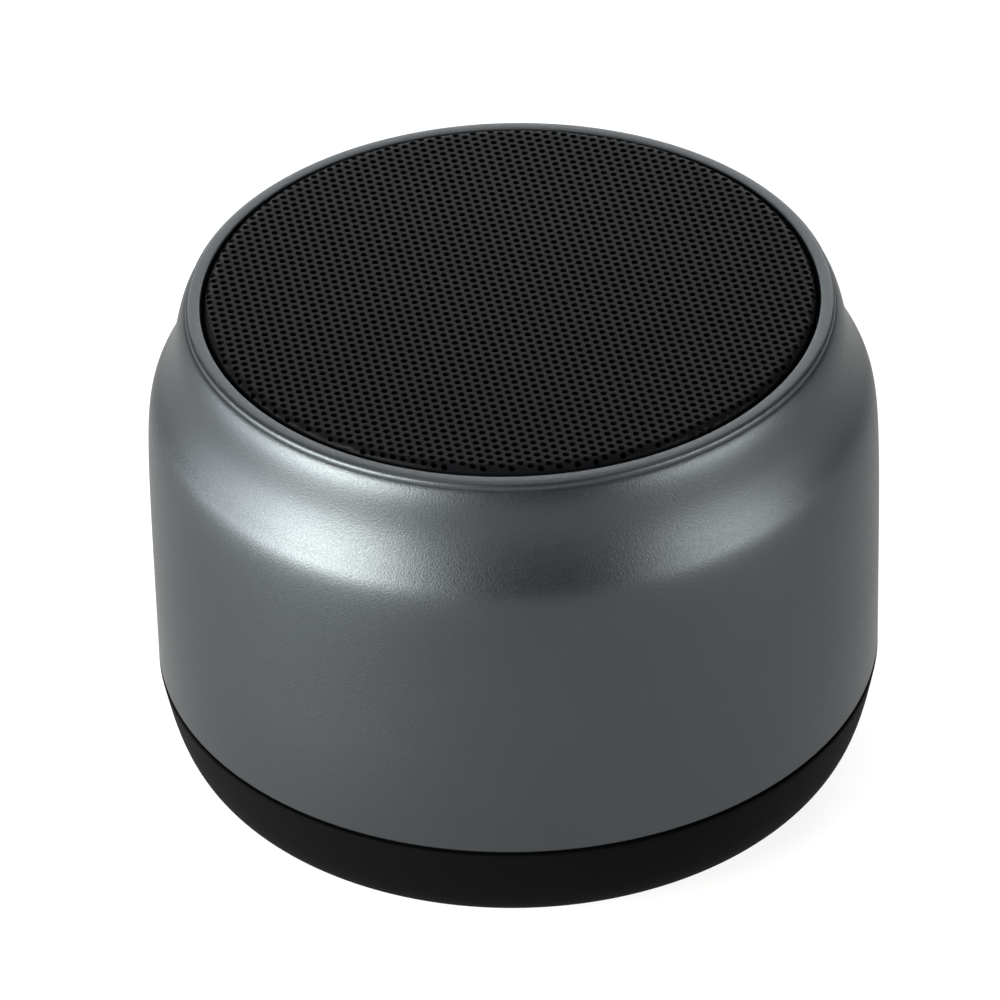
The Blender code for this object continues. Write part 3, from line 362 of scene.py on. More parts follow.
# %% Shell finish and shape
shell_low, shell_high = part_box("outer_shell")
BODY_R = shell_high.x / MM
TOP = shell_high.z / MM
SEAM = shell_low.z / MM
WALL = 1.0
WALL_TOP = TOP - 23.9
WALL_PULL, SHOULDER_PULL = (BODY_R, TOP - 1.95), (BODY_R - 0.53, TOP - 12.66)
COLLAR_R, COLLAR_BORE = 25.89, 24.66
COLLAR_ROUND, COLLAR_EDGE, SHELL_EDGE = 0.42, 0.2, 0.25
CROWN_START, CROWN_END = TOP - 5.0, (25.98, TOP - 0.62)
CROWN_PULL_UP, CROWN_LEAN_OUT, CROWN_LEAN_DOWN = 1.9, 0.74, 1.19
COLLAR_FOOT_RISE = 0.07
LIP, LIP_CLEAR, LIP_DEPTH = TOP - 3.9, 0.4, 0.15
SHOULDER_END = (26.31, TOP - 1.42)


def shell_outline():
    rise = curve((BODY_R, WALL_TOP), WALL_PULL, SHOULDER_PULL, SHOULDER_END, 40)
    rise = [point for point in rise if point[1] < CROWN_START]
    (r0, z0), (r1, z1) = rise[-2:]
    slope = (r1 - r0) / (z1 - z0)
    pull = (r1 + CROWN_PULL_UP * slope, z1 + CROWN_PULL_UP)
    lean = (CROWN_END[0] + CROWN_LEAN_OUT, CROWN_END[1] - CROWN_LEAN_DOWN)
    crown = curve((r1, z1), pull, lean, CROWN_END, 16)
    collar = [
        *crown[1:],
        (COLLAR_R, CROWN_END[1] + COLLAR_FOOT_RISE),
        *arc(COLLAR_R - COLLAR_ROUND, TOP - COLLAR_ROUND, COLLAR_ROUND, 0, 90, 9),
        *arc(COLLAR_BORE + COLLAR_EDGE, TOP - COLLAR_EDGE, COLLAR_EDGE, 90, 180, 5),
        (COLLAR_BORE, LIP),
    ]
    lining = []
    for (r0, z0), (r1, z1), (r2, z2) in zip(rise, rise[1:], rise[2:]):
        length = math.hypot(r2 - r0, z2 - z0)
        point = (r1 - WALL * (z2 - z0) / length, z1 + WALL * (r2 - r0) / length)
        if point[1] < LIP - LIP_CLEAR:
            lining.append(point)
    lip_radius = lining[-1][0] - LIP_DEPTH
    edge = arc(BODY_R - SHELL_EDGE, SEAM + SHELL_EDGE, SHELL_EDGE, -90, 0, 5)
    bore = BODY_R - WALL
    inside = [(lip_radius, LIP), *reversed(lining), (bore, rise[0][1]), (bore, SEAM)]
    return [*edge, *rise, *collar, *inside]


gun_metal = finish(
    "blasted_gun_metal", (0.0525, 0.058, 0.062), roughness=0.42, metallic=1.0, shade=0.035,
    shade_size=14 * MM, rough_spread=0.04, grain_size=0.15 * MM, grain_depth=0.019 * MM,
    Specular_Tint=(0.75, 0.75, 0.75, 1),
)
shell = finished_object(lathe(shell_outline(), 256), "shell", gun_metal)
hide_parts("outer_shell")
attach(shell, "housing")
print("shell:", len(shell.data.polygons), "faces,", round(2 * BODY_R, 1), "mm across")

# %% [markdown]
# ## The grille
#
# The grille is a thin steel sheet with about three thousand round holes on a close triangular grid,
# pressed so that its edge rolls down inside the collar. A hole pattern painted on a disc would look
# flat at the rolled edge. This is a job for Geometry Nodes: one six-sided tile with a hole is
# copied to every point of the grid, the copies are welded into one sheet, and the sheet is then
# rolled down at its edge by a rule. Tiles beyond the last ring of holes are plain. Every size is a
# named input of the tree.

# %% The grille's node tree
HOLE_SIDES = 10
TILE_WELD = 0.01 * MM
NOT_ZERO = 1e-6


def maths(tree, operation, first, second=None):
    """One Math node. Each value is a number or an output to link."""
    made = tree.nodes.new("ShaderNodeMath")
    made.operation = operation
    for i, value in enumerate((first, second)):
        if isinstance(value, (int, float)):
            made.inputs[i].default_value = value
        elif value is not None:
            tree.links.new(value, made.inputs[i])
    return made.outputs[0]


def feed(tree, made, **inputs):
    """Links outputs or sets numbers on a node's inputs by name, and gives its first output."""
    for key, value in inputs.items():
        socket = made.inputs[key.replace("_", " ")]
        if isinstance(value, bpy.types.NodeSocket):
            tree.links.new(value, socket)
        else:
            socket.default_value = value
    return made.outputs[0]


def step(tree, kind, **inputs):
    """A new geometry node with its inputs fed, and its first output."""
    return feed(tree, tree.nodes.new("GeometryNode" + kind), **inputs)


def times(tree, first, second):
    return maths(tree, "MULTIPLY", first, second)


def vector(tree, x=0.0, y=0.0, z=0.0):
    return feed(tree, tree.nodes.new("ShaderNodeCombineXYZ"), X=x, Y=y, Z=z)


def joined(tree, *parts):
    made = tree.nodes.new("GeometryNodeJoinGeometry")
    for part in parts:
        tree.links.new(part, made.inputs[0])
    return made.outputs[0]


def new_tree(name, labels):
    """A tree with named inputs, their identifiers, and the outputs that carry them inside."""
    tree = bpy.data.node_groups.new(name, "GeometryNodeTree")
    sockets = {}
    for label in labels:
        kind = "NodeSocketInt" if label == "Count" else "NodeSocketFloat"
        made = tree.interface.new_socket(label, in_out="INPUT", socket_type=kind)
        sockets[label] = made.identifier
    tree.interface.new_socket("Geometry", in_out="OUTPUT", socket_type="NodeSocketGeometry")
    outputs = tree.nodes.new("NodeGroupInput").outputs
    return tree, sockets, {label: outputs[label] for label in labels}


def end_tree(tree, geometry, material):
    """Makes the copies real, coats them and links them to the tree's output."""
    real = step(tree, "RealizeInstances", Geometry=geometry)
    coated = step(tree, "SetMaterial", Geometry=real, Material=material)
    tree.links.new(coated, tree.nodes.new("NodeGroupOutput").inputs[0])


def hexagon_tile(tree, pitch, hole, sheet):
    """A six-sided tile as thick as the sheet: two faces, and the wall of its hole if it has one."""
    corner = maths(tree, "DIVIDE", pitch, math.sqrt(3))
    rim = step(tree, "CurvePrimitiveCircle", Resolution=6, Radius=corner)
    parts = [step(tree, "Transform", Geometry=rim, Rotation=(0, 0, math.radians(30)))]
    if hole is not None:
        radius = maths(tree, "DIVIDE", hole, 2)
        parts.append(step(tree, "CurvePrimitiveCircle", Resolution=HOLE_SIDES, Radius=radius))
    face = step(tree, "FillCurve", Curve=joined(tree, *parts))
    down = vector(tree, z=times(tree, sheet, -1))
    lower = step(tree, "Transform", Geometry=face, Translation=down)
    lower = step(tree, "FlipFaces", Mesh=lower)
    if hole is None:
        return joined(tree, face, lower)
    tube = tree.nodes.new("GeometryNodeMeshCylinder")
    tube.fill_type = "NONE"
    wall = feed(tree, tube, Vertices=HOLE_SIDES, Radius=radius, Depth=sheet)
    half_down = vector(tree, z=times(tree, sheet, -0.5))
    wall = step(tree, "Transform", Geometry=wall, Translation=half_down)
    return joined(tree, face, lower, step(tree, "FlipFaces", Mesh=wall))


def line_of_points(tree, count, start, offset):
    return step(tree, "MeshLine", Count=count, Start_Location=start, Offset=offset)


def grid_points(tree, pitch, reach, turn):
    """Points on a triangular grid over a disc, with every second row moved by half a pitch."""
    row_pitch = times(tree, pitch, math.sqrt(3) / 2)
    columns = times(tree, maths(tree, "CEIL", maths(tree, "DIVIDE", reach, pitch)), 2)
    rows = times(tree, maths(tree, "CEIL", maths(tree, "DIVIDE", reach, row_pitch)), 2)
    left = vector(tree, times(tree, times(tree, columns, pitch), -0.5))
    front = vector(tree, y=times(tree, times(tree, rows, row_pitch), -0.5))
    line = line_of_points(tree, maths(tree, "ADD", columns, 1), left, vector(tree, pitch))
    stack = line_of_points(tree, maths(tree, "ADD", rows, 1), front, vector(tree, y=row_pitch))
    index = tree.nodes.new("GeometryNodeInputIndex").outputs[0]
    half_step = times(tree, maths(tree, "MODULO", index, 2), times(tree, pitch, 0.5))
    shifted = step(tree, "SetPosition", Geometry=stack, Offset=vector(tree, half_step))
    rows_of_points = step(tree, "InstanceOnPoints", Points=shifted, Instance=line)
    points = step(tree, "RealizeInstances", Geometry=rows_of_points)
    return step(tree, "Transform", Geometry=points, Rotation=vector(tree, z=turn))


def distance_out(tree):
    """The distance of a point from the Z axis, with its separate coordinates."""
    position = tree.nodes.new("GeometryNodeInputPosition").outputs[0]
    parts = tree.nodes.new("ShaderNodeSeparateXYZ")
    tree.links.new(position, parts.inputs[0])
    x, y, z = parts.outputs
    squares = maths(tree, "ADD", times(tree, x, x), times(tree, y, y))
    return maths(tree, "SQRT", squares), x, y, z


def keep_between(tree, points, low, high):
    """Deletes the points nearer than low or further than high."""
    out = distance_out(tree)[0]
    near, far = maths(tree, "LESS_THAN", out, low), maths(tree, "GREATER_THAN", out, high)
    return step(tree, "DeleteGeometry", Geometry=points, Selection=maths(tree, "ADD", near, far))


def rolled_down(tree, sheet_mesh, flat, roll, top):
    """Bends what lies beyond the flat radius round a quarter circle, and then straight down."""
    out, x, y, z = distance_out(tree)
    beyond = maths(tree, "MAXIMUM", maths(tree, "SUBTRACT", out, flat), 0.0)
    angle = maths(tree, "MINIMUM", maths(tree, "DIVIDE", beyond, roll), math.pi / 2)
    quarter = times(tree, roll, math.pi / 2)
    drop = maths(tree, "MAXIMUM", maths(tree, "SUBTRACT", beyond, quarter), 0.0)
    depth = maths(tree, "ADD", roll, z)
    leant = times(tree, depth, maths(tree, "SINE", angle))
    new_out = maths(tree, "ADD", maths(tree, "MINIMUM", out, flat), leant)
    risen = times(tree, depth, maths(tree, "COSINE", angle))
    height = maths(tree, "ADD", maths(tree, "SUBTRACT", top, roll), risen)
    height = maths(tree, "SUBTRACT", height, drop)
    share = maths(tree, "DIVIDE", new_out, maths(tree, "MAXIMUM", out, NOT_ZERO))
    place = vector(tree, times(tree, x, share), times(tree, y, share), height)
    return step(tree, "SetPosition", Geometry=sheet_mesh, Position=place)


def closed_edge(tree, sheet_mesh, sheet):
    """Walls in the sheet's outer edge: its upper edge is drawn down to its lower one and welded."""
    neighbours = tree.nodes.new("GeometryNodeInputMeshEdgeNeighbors").outputs[0]
    height = distance_out(tree)[3]
    upper = maths(tree, "GREATER_THAN", height, times(tree, sheet, -0.5))
    open_edge = times(tree, maths(tree, "COMPARE", neighbours, 1.0), upper)
    drawn = tree.nodes.new("GeometryNodeExtrudeMesh")
    drawn.mode = "EDGES"
    down = vector(tree, z=times(tree, sheet, -1))
    return feed(tree, drawn, Mesh=sheet_mesh, Selection=open_edge, Offset=down, Offset_Scale=1.0)


def welded(tree, geometry):
    return step(tree, "MergeByDistance", Geometry=geometry, Distance=TILE_WELD)


def grille_tree(material):
    labels = ("Pitch", "Hole Diameter", "Sheet Thickness", "Flat Radius", "Roll Radius")
    labels += ("Perforated Reach", "Sheet Reach", "Top Height", "Grid Turn")
    tree, sockets, given = new_tree("perforated_sheet", labels)
    pitch, sheet = given["Pitch"], given["Sheet Thickness"]
    holed, reach = given["Perforated Reach"], given["Sheet Reach"]
    points = grid_points(tree, pitch, reach, given["Grid Turn"])
    turn = vector(tree, z=given["Grid Turn"])
    rings = []
    for hole, low, high in ((given["Hole Diameter"], -1.0, holed), (None, holed, reach)):
        tile = hexagon_tile(tree, pitch, hole, sheet)
        spots = keep_between(tree, points, low, high)
        rings.append(step(tree, "InstanceOnPoints", Points=spots, Instance=tile, Rotation=turn))
    tiles = step(tree, "RealizeInstances", Geometry=joined(tree, *rings))
    whole = welded(tree, closed_edge(tree, welded(tree, tiles), sheet))
    flat, roll, top = given["Flat Radius"], given["Roll Radius"], given["Top Height"]
    end_tree(tree, rolled_down(tree, whole, flat, roll, top), material)
    return tree, sockets


print("the grille's tree takes a pitch, a hole, a sheet, a roll and a turn")

# %% [markdown]
# ## Running the tree
#
# A node tree only shows its result on an object, so it is put on an empty mesh, evaluated once, and
# copied out as plain faces. Small gaps are filled and the faces turned outwards, and the edges that
# stay open are counted: the screws further down still have some. The paint is satin black over
# steel, with a slight orange-peel texture.

# %% The grille
grille_low, grille_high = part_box("grille")
GRILLE_R, GRILLE_TOP = grille_high.x / MM, grille_high.z / MM
GRILLE_ROLL, GRILLE_SHEET = 0.65, 0.5
GRILLE_DEPTH = GRILLE_TOP - grille_low.z / MM
HOLE_PITCH, HOLE_DIAMETER, GRID_TURN = 0.8385, 0.58, -20.8
HOLES_PAST_FLAT, LAST_TILE_SHORT = 0.55, 0.47
TREE_SMOOTH_ANGLE = 35
LARGEST_GAP_SIDES = 8


def from_tree(tree, sockets, values, name):
    """Evaluates a tree on an empty object and keeps the result as a plain, outward-facing mesh."""
    obj = bpy.data.objects.new(name, bpy.data.meshes.new(name))
    bpy.context.scene.collection.objects.link(obj)
    modifier = obj.modifiers.new("tree", "NODES")
    modifier.node_group = tree
    for label, value in values.items():
        modifier[sockets[label]] = value
    made = evaluated_mesh(obj)
    obj.modifiers.remove(modifier)
    obj.data = made
    shape = bmesh.new()
    shape.from_mesh(made)
    gaps = [edge for edge in shape.edges if len(edge.link_faces) == 1]
    bmesh.ops.holes_fill(shape, edges=gaps, sides=LARGEST_GAP_SIDES)
    open_edges = sum(1 for edge in shape.edges if len(edge.link_faces) != 2)
    bmesh.ops.recalc_face_normals(shape, faces=shape.faces)
    shape.to_mesh(made)
    volume = shape.calc_volume(signed=True)
    shape.free()
    smoothed(made, TREE_SMOOTH_ANGLE)
    triangles = sum(len(face.vertices) - 2 for face in made.polygons)
    print(f"{name}: {triangles} triangles, {open_edges} open edges, {volume / MM**3:.1f} mm3")
    return obj


black_paint = finish(
    "satin_black_paint", (0.0036, 0.0036, 0.0044), roughness=0.36, shade=0.1,
    grain_size=0.09 * MM, grain_depth=0.004 * MM, Specular_IOR_Level=0.02,
)
tree, sockets = grille_tree(black_paint)
flat_radius = GRILLE_R - GRILLE_ROLL
sheet_reach = flat_radius + GRILLE_ROLL * math.pi / 2 + GRILLE_DEPTH - GRILLE_ROLL
grille_sizes = {
    "Pitch": HOLE_PITCH * MM,
    "Hole Diameter": HOLE_DIAMETER * MM,
    "Sheet Thickness": GRILLE_SHEET * MM,
    "Flat Radius": flat_radius * MM,
    "Roll Radius": GRILLE_ROLL * MM,
    "Perforated Reach": (flat_radius + HOLES_PAST_FLAT) * MM,
    "Sheet Reach": (sheet_reach - LAST_TILE_SHORT) * MM,
    "Top Height": GRILLE_TOP * MM,
    "Grid Turn": math.radians(GRID_TURN),
}
grille = from_tree(tree, sockets, grille_sizes, "grille_sheet")
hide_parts("grille")
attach(grille, "housing")

# %% [markdown]
# ## The dust cloth
#
# Behind the holes a black woven cloth keeps dust off the driver. It is stretched flat on the rim of
# the driver's bracket, close under the sheet, and it is what makes every hole look black. It could
# be a single plane, but a cut edge is visible from inside, so it is a thin closed disc. The weave
# is two sets of waves at right angles, one for the warp and one for the weft, in the bump and the
# colour.

# %% Dust cloth
cloth_low, cloth_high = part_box("dust_cloth")
CLOTH_R = cloth_high.x / MM
CLOTH_EDGE, CLOTH_THREAD = 0.12, 0.22 * MM


def woven(name, colour, thread, roughness, depth):
    """A plain weave: warp and weft are two crossed waves, one thread wide."""
    material = bpy.data.materials.new(name)
    material.use_nodes = True
    tree = material.node_tree
    shader = tree.nodes["Principled BSDF"]
    coords = node(tree, "ShaderNodeTexCoord")
    waves = []
    for direction in ("X", "Y"):
        scale = math.pi / (10 * thread)
        wave = node(tree, "ShaderNodeTexWave", bands_direction=direction, Scale=scale)
        wire(tree, coords, "Object", wave, "Vector")
        waves.append(wave.outputs[1])
    crossed = tree.nodes.new("ShaderNodeMath")
    crossed.operation = "MULTIPLY"
    for i, wave in enumerate(waves):
        tree.links.new(wave, crossed.inputs[i])
    dark, light = tuple(c * 0.5 for c in colour), tuple(c * 1.6 for c in colour)
    mixed = shades(tree, crossed, 0, dark, light)
    tree.links.new(mixed.outputs[2], shader.inputs["Base Color"])
    bump = node(tree, "ShaderNodeBump", Strength=0.8, Distance=depth)
    tree.links.new(crossed.outputs[0], bump.inputs["Height"])
    wire(tree, bump, "Normal", shader, "Normal")
    shader.inputs["Roughness"].default_value = roughness
    shader.inputs["Specular IOR Level"].default_value = 0.1
    shader.inputs["Sheen Weight"].default_value = 0.02
    return material


black_cloth = woven("black_dust_cloth", (0.002, 0.002, 0.002), CLOTH_THREAD, 0.95, 0.05 * MM)
cloth_z = (cloth_low.z / MM, cloth_high.z / MM)
flat_out = CLOTH_R - CLOTH_EDGE
cloth_outline = [
    (0, cloth_z[0]),
    (flat_out, cloth_z[0]),
    *arc(flat_out, sum(cloth_z) / 2, CLOTH_EDGE, -90, 90, 5),
    (flat_out, cloth_z[1]),
    (0, cloth_z[1]),
]
cloth_shape = lathe(cloth_outline, 96, closed=False)
cloth = finished_object(cloth_shape, "dust_cloth_disc", black_cloth)
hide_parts("dust_cloth")
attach(cloth, "housing")
print("cloth:", round(2 * CLOTH_R, 1), "mm across,", round(cloth_z[1] - cloth_z[0], 2), "mm thick")

# %% [markdown]
# ## The base
#
# The base is one injection moulding in near-black plastic: a shallow bowl with a rounded underside,
# a groove for the foot ring, four screw bosses and three posts for the circuit board. The bowl is
# turned, as the shell was. The bosses and posts are joined to it, and the screw holes, the socket's
# slot and the holes of the button, the light and the microphone are then cut, because that is how
# the mould's cores work. The texture of the mould is a fine, shallow spark-eroded grain, kept matt
# so that the base reads as a shadow line.

# %% Base finish and bowl
tray_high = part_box("base_tray")[1]
LEDGE, SPIGOT_TOP = SEAM - 0.3, tray_high.z / MM
UNDERSIDE, FLOOR_TOP, TRAY_BORE, SPIGOT_R = 0.6, 2.4, 26.6, 28.2
LEDGE_EDGE, LEAD_IN, INNER_ROUND = 0.15, 0.3, 3.0
RECESS_IN, RECESS_OUT, RECESS_TOP = 14.9, 20.5, 1.4
GROOVE_R, GROOVE_LOW, GROOVE_HIGH = 27.25, 10.1, 11.35
FLAT_R, TURN_R, BULGE = 21.9, 27.9, (28.34, 2.8)
REAR_HEIGHT = 6.3


def base_rise(count):
    """The outside of the bowl, from its flat underside up to the ledge under the shell."""
    end = (BODY_R, LEDGE - LEDGE_EDGE)
    return curve((FLAT_R, UNDERSIDE), (TURN_R, UNDERSIDE), BULGE, end, count)


def base_outline():
    recess = [(RECESS_IN, UNDERSIDE), (RECESS_IN, RECESS_TOP)]
    recess += [(RECESS_OUT, RECESS_TOP), (RECESS_OUT, UNDERSIDE)]
    ledge = arc(BODY_R - LEDGE_EDGE, LEDGE - LEDGE_EDGE, LEDGE_EDGE, 20, 90, 4)
    groove = [(SPIGOT_R, LEDGE), (SPIGOT_R, GROOVE_LOW), (GROOVE_R, GROOVE_LOW)]
    groove += [(GROOVE_R, GROOVE_HIGH), (SPIGOT_R, GROOVE_HIGH)]
    lead_in = [(SPIGOT_R, SPIGOT_TOP - LEAD_IN), (SPIGOT_R - LEAD_IN, SPIGOT_TOP)]
    lead_in += [(TRAY_BORE, SPIGOT_TOP)]
    inside = arc(TRAY_BORE - INNER_ROUND, FLOOR_TOP + INNER_ROUND, INNER_ROUND, 0, -90, 8)
    outside = [(0, UNDERSIDE), *recess, *base_rise(36), *ledge]
    return [*outside, *groove, *lead_in, *inside, (0, FLOOR_TOP)]


mould_black = finish(
    "near_black_moulding", (0.0014, 0.0014, 0.0015), roughness=0.72, shade=0.08,
    grain_size=0.14 * MM, grain_depth=0.012 * MM, Specular_IOR_Level=0.025,
)
tray = finished_object(lathe(base_outline(), closed=False), "base_bowl", mould_black)
print("base bowl:", len(tray.data.polygons), "faces")

# %% [markdown]
# ## Bosses, holes and slots
#
# A cutter is built upright on the Z axis, where it is easy to think about, and one matrix then lays
# it outwards through the wall at its own bearing. The cutters are made longer than the wall, so
# that no two faces lie on each other, which is what usually breaks an exact Boolean.

# %% Cutters


def rod(radius, low, high, x=0.0, y=0.0, steps=32):
    """A plain round bar along Z, in mm, as a scratch object for joining or cutting."""
    shape = lathe([(0, low), (radius, low), (radius, high), (0, high)], steps, closed=False)
    shape.transform(Matrix.Translation((x * MM, y * MM, 0)))
    return finished_object(shape, "rod")


def rounded_bar(tall, wide, corner, low, high):
    """A bar along Z with rounded corners: tall along X, which turns downwards, and wide along Y."""
    loop = []
    for sx, sy, start in ((1, 1, 0), (-1, 1, 90), (-1, -1, 180), (1, -1, 270)):
        cx, cy = sx * (tall / 2 - corner), sy * (wide / 2 - corner)
        loop += arc(cx, cy, corner, start, start + 90, 8)
    shape = bmesh.new()
    rings = [[shape.verts.new((x * MM, y * MM, z * MM)) for x, y in loop] for z in (low, high)]
    shape.faces.new(rings[0])
    shape.faces.new(rings[1])
    for i in range(len(loop)):
        j = (i + 1) % len(loop)
        shape.faces.new((rings[0][i], rings[0][j], rings[1][j], rings[1][i]))
    return shape


def lay_outwards(shape, bearing):
    """Turns what stands on Z to point out of the speaker, at a bearing and at the rear height."""
    turn = Matrix.Rotation(math.radians(bearing), 4, "Z")
    turn = turn @ Matrix.Rotation(math.radians(90), 4, "Y")
    shape.transform(Matrix.Translation((0, 0, REAR_HEIGHT * MM)) @ turn)
    return shape


def on_circle(radius, bearings):
    turns = [math.radians(bearing) for bearing in bearings]
    return [(radius * math.cos(turn), radius * math.sin(turn)) for turn in turns]


print("cutters stand on Z and are then laid outwards")

# %% [markdown]
# ## Cutting the base
#
# Each screw boss gets a bore for the shank and a wider counterbore below it, so that the screw's
# head sits under the surface. At the back an oval slot frames the charging socket, a round hole
# takes the button, and two small holes serve the charging light and the microphone.

# %% Base, joined and cut
screw_low, screw_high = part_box("base_screw_1")
screw_middle = (screw_low + screw_high) / 2
SCREW_CIRCLE = math.hypot(screw_middle.x, screw_middle.y) / MM
BOSS_BEARINGS, POST_BEARINGS, POST_CIRCLE = (45, 135, 225, 315), (90, 210, 330), 13.0
BOSS_R, BOSS_TOP, POST_R, POST_TOP, ROOT = 2.8, 7.0, 2.1, 3.1, 1.9
BOSS_BORE, COUNTERBORE_R, COUNTERBORE_TOP, POST_BORE = 1.3, 2.1, 2.8, 1.1
SOCKET_BEARING, BUTTON_BEARING, LIGHT_BEARING, MICROPHONE_BEARING = 90, 68, 107, 117
CUT_FROM, CUT_TO = 24, 31
boss_places = on_circle(SCREW_CIRCLE, BOSS_BEARINGS)
post_places = on_circle(POST_CIRCLE, POST_BEARINGS)
bosses = [rod(BOSS_R, ROOT, BOSS_TOP, x, y) for x, y in boss_places]
posts = [rod(POST_R, ROOT, POST_TOP, x, y) for x, y in post_places]
carve(tray, bosses + posts, "UNION")
cutters = []
for x, y in boss_places:
    cutters += [rod(BOSS_BORE, -1, 9, x, y), rod(COUNTERBORE_R, -1, COUNTERBORE_TOP, x, y)]
cutters += [rod(POST_BORE, 1.4, 5, x, y) for x, y in post_places]
slot_shape = lay_outwards(rounded_bar(3.8, 9.54, 1.75, CUT_FROM, CUT_TO), SOCKET_BEARING)
cutters.append(finished_object(slot_shape, "slot"))
for radius, bearing in ((2.5, BUTTON_BEARING), (1.05, LIGHT_BEARING), (0.5, MICROPHONE_BEARING)):
    outline = [(0, CUT_FROM), (radius, CUT_FROM), (radius, CUT_TO), (0, CUT_TO)]
    hole = lathe(outline, 40, closed=False)
    cutters.append(finished_object(lay_outwards(hole, bearing), "hole"))
carve(tray, cutters)
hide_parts("base_tray")
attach(tray, "housing")
print("base:", len(tray.data.polygons), "faces, cut by", len(cutters), "cutters")

# %% [markdown]
# ## The foot ring
#
# A silicone ring is glued in the groove and keeps the speaker from sliding. Its edges are rounded
# by the mould and three shallow grooves let it grip, so only its lands touch the table. Rubber is
# dull, a little dusty and slightly lighter than the plastic round it.

# %% Foot ring
foot_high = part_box("foot_pad")[1]
FOOT_OUT, FOOT_TOP, FOOT_WIDTH = foot_high.x / MM, foot_high.z / MM, 5.0
FOOT_IN = FOOT_OUT - FOOT_WIDTH


def foot_outline():
    edge, tread, depth = 0.2, 0.25, 0.18
    points = [*arc(FOOT_IN + edge, edge, edge, 180, 270, 5)]
    for i in range(3):
        middle = FOOT_IN + (FOOT_OUT - FOOT_IN) * (i + 1) / 4
        points += [(middle - tread, 0), (middle - tread / 2, depth), (middle + tread / 2, depth)]
        points += [(middle + tread, 0)]
    points += [*arc(FOOT_OUT - edge, edge, edge, 270, 360, 5)]
    points += [*arc(FOOT_OUT - edge, FOOT_TOP - edge, edge, 0, 90, 5)]
    return [*points, *arc(FOOT_IN + edge, FOOT_TOP - edge, edge, 90, 180, 5)]


foot_silicone = finish(
    "black_silicone", (0.02, 0.02, 0.02), roughness=0.8, shade=0.2, shade_size=4 * MM,
    grain_size=0.2 * MM, grain_depth=0.01 * MM, Specular_IOR_Level=0.3,
)
foot = finished_object(lathe(foot_outline()), "foot_ring", foot_silicone)
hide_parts("foot_pad")
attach(foot, "housing")
print("foot ring:", round(2 * FOOT_IN, 1), "to", round(2 * FOOT_OUT, 1), "mm across")

# %% [markdown]
# ## Screws
#
# Eleven screws hold the speaker together: four long ones through the base, three short ones in the
# board and four under the driver's flange. They are the same shape in three sizes, so one Geometry
# Nodes tree makes them all. It joins a shank, a head and a chamfered crown, cuts a crossed recess
# in the crown, and copies the result to the points of a circle. Only numbers change from one set to
# the next. The constants are shares of the head's height, the head's radius and the shank's radius.
# The parts overlap only slightly, and some edges of the result stay open.

# %% The screw tree
RIM_SHARE, CROWN_FOOT, CROWN_TOP = 0.6, 0.599, 0.7
SHANK_RISE, TIP_SHARE, POINT_OVERLAP = 0.2, 0.3, 0.999
RECESS_LENGTH, RECESS_WIDTH, RECESS_MIDDLE, RECESS_DEPTH = 1.15, 0.24, 0.8, 0.9


def bar(tree, radius, low, high, sides=24, top=None):
    """A round bar or a cone between two heights."""
    made = tree.nodes.new("GeometryNodeMeshCone")
    depth = maths(tree, "SUBTRACT", high, low)
    upper = radius if top is None else top
    body = feed(tree, made, Vertices=sides, Radius_Top=upper, Radius_Bottom=radius, Depth=depth)
    return step(tree, "Transform", Geometry=body, Translation=vector(tree, z=low))


def boolean(tree, operation, parts, cutters=()):
    made = tree.nodes.new("GeometryNodeMeshBoolean")
    made.operation = operation
    if operation == "UNION":
        for part in parts:
            tree.links.new(part, made.inputs[1])
    else:
        tree.links.new(parts[0], made.inputs[0])
        for cutter in cutters:
            tree.links.new(cutter, made.inputs[1])
    return made.outputs[0]


def recess_arm(tree, length, width, middle, depth):
    arm = step(tree, "MeshCube", Size=vector(tree, length, width, depth))
    return step(tree, "Transform", Geometry=arm, Translation=vector(tree, z=middle))


def screw_tree(material):
    labels = ("Count", "Circle Radius", "First Bearing", "Head Radius", "Head Height")
    labels += ("Shank Radius", "Shank Length", "Seat Height", "Head Downwards")
    tree, sockets, given = new_tree("crossed_recess_screws", labels)
    head, tall, shank = given["Head Radius"], given["Head Height"], given["Shank Radius"]
    length = given["Shank Length"]
    shoulder = times(tree, tall, RIM_SHARE)
    crown_foot, crown_top = times(tree, tall, CROWN_FOOT), times(tree, head, CROWN_TOP)
    point = times(tree, maths(tree, "SUBTRACT", length, shank), -1.0)
    tip, tip_radius = times(tree, length, -1.0), times(tree, shank, TIP_SHARE)
    parts = [
        bar(tree, head, 0.0, shoulder),
        bar(tree, head, crown_foot, tall, top=crown_top),
        bar(tree, shank, point, times(tree, tall, SHANK_RISE), 16),
        bar(tree, tip_radius, tip, times(tree, point, POINT_OVERLAP), 16, top=shank),
    ]
    body = boolean(tree, "UNION", parts)
    long, wide = times(tree, head, RECESS_LENGTH), times(tree, head, RECESS_WIDTH)
    middle, deep = times(tree, tall, RECESS_MIDDLE), times(tree, tall, RECESS_DEPTH)
    arms = [recess_arm(tree, long, wide, middle, deep), recess_arm(tree, wide, long, middle, deep)]
    body = boolean(tree, "DIFFERENCE", [body], arms)
    flip = vector(tree, x=times(tree, given["Head Downwards"], math.pi))
    turned = step(tree, "Transform", Geometry=body, Rotation=flip)
    ring = tree.nodes.new("GeometryNodeMeshCircle")
    spots = feed(tree, ring, Vertices=given["Count"], Radius=given["Circle Radius"])
    spots = step(
        tree,
        "Transform",
        Geometry=spots,
        Rotation=vector(tree, z=given["First Bearing"]),
        Translation=vector(tree, z=given["Seat Height"]),
    )
    end_tree(tree, step(tree, "InstanceOnPoints", Points=spots, Instance=turned), material)
    return tree, sockets


print("one tree makes every screw")

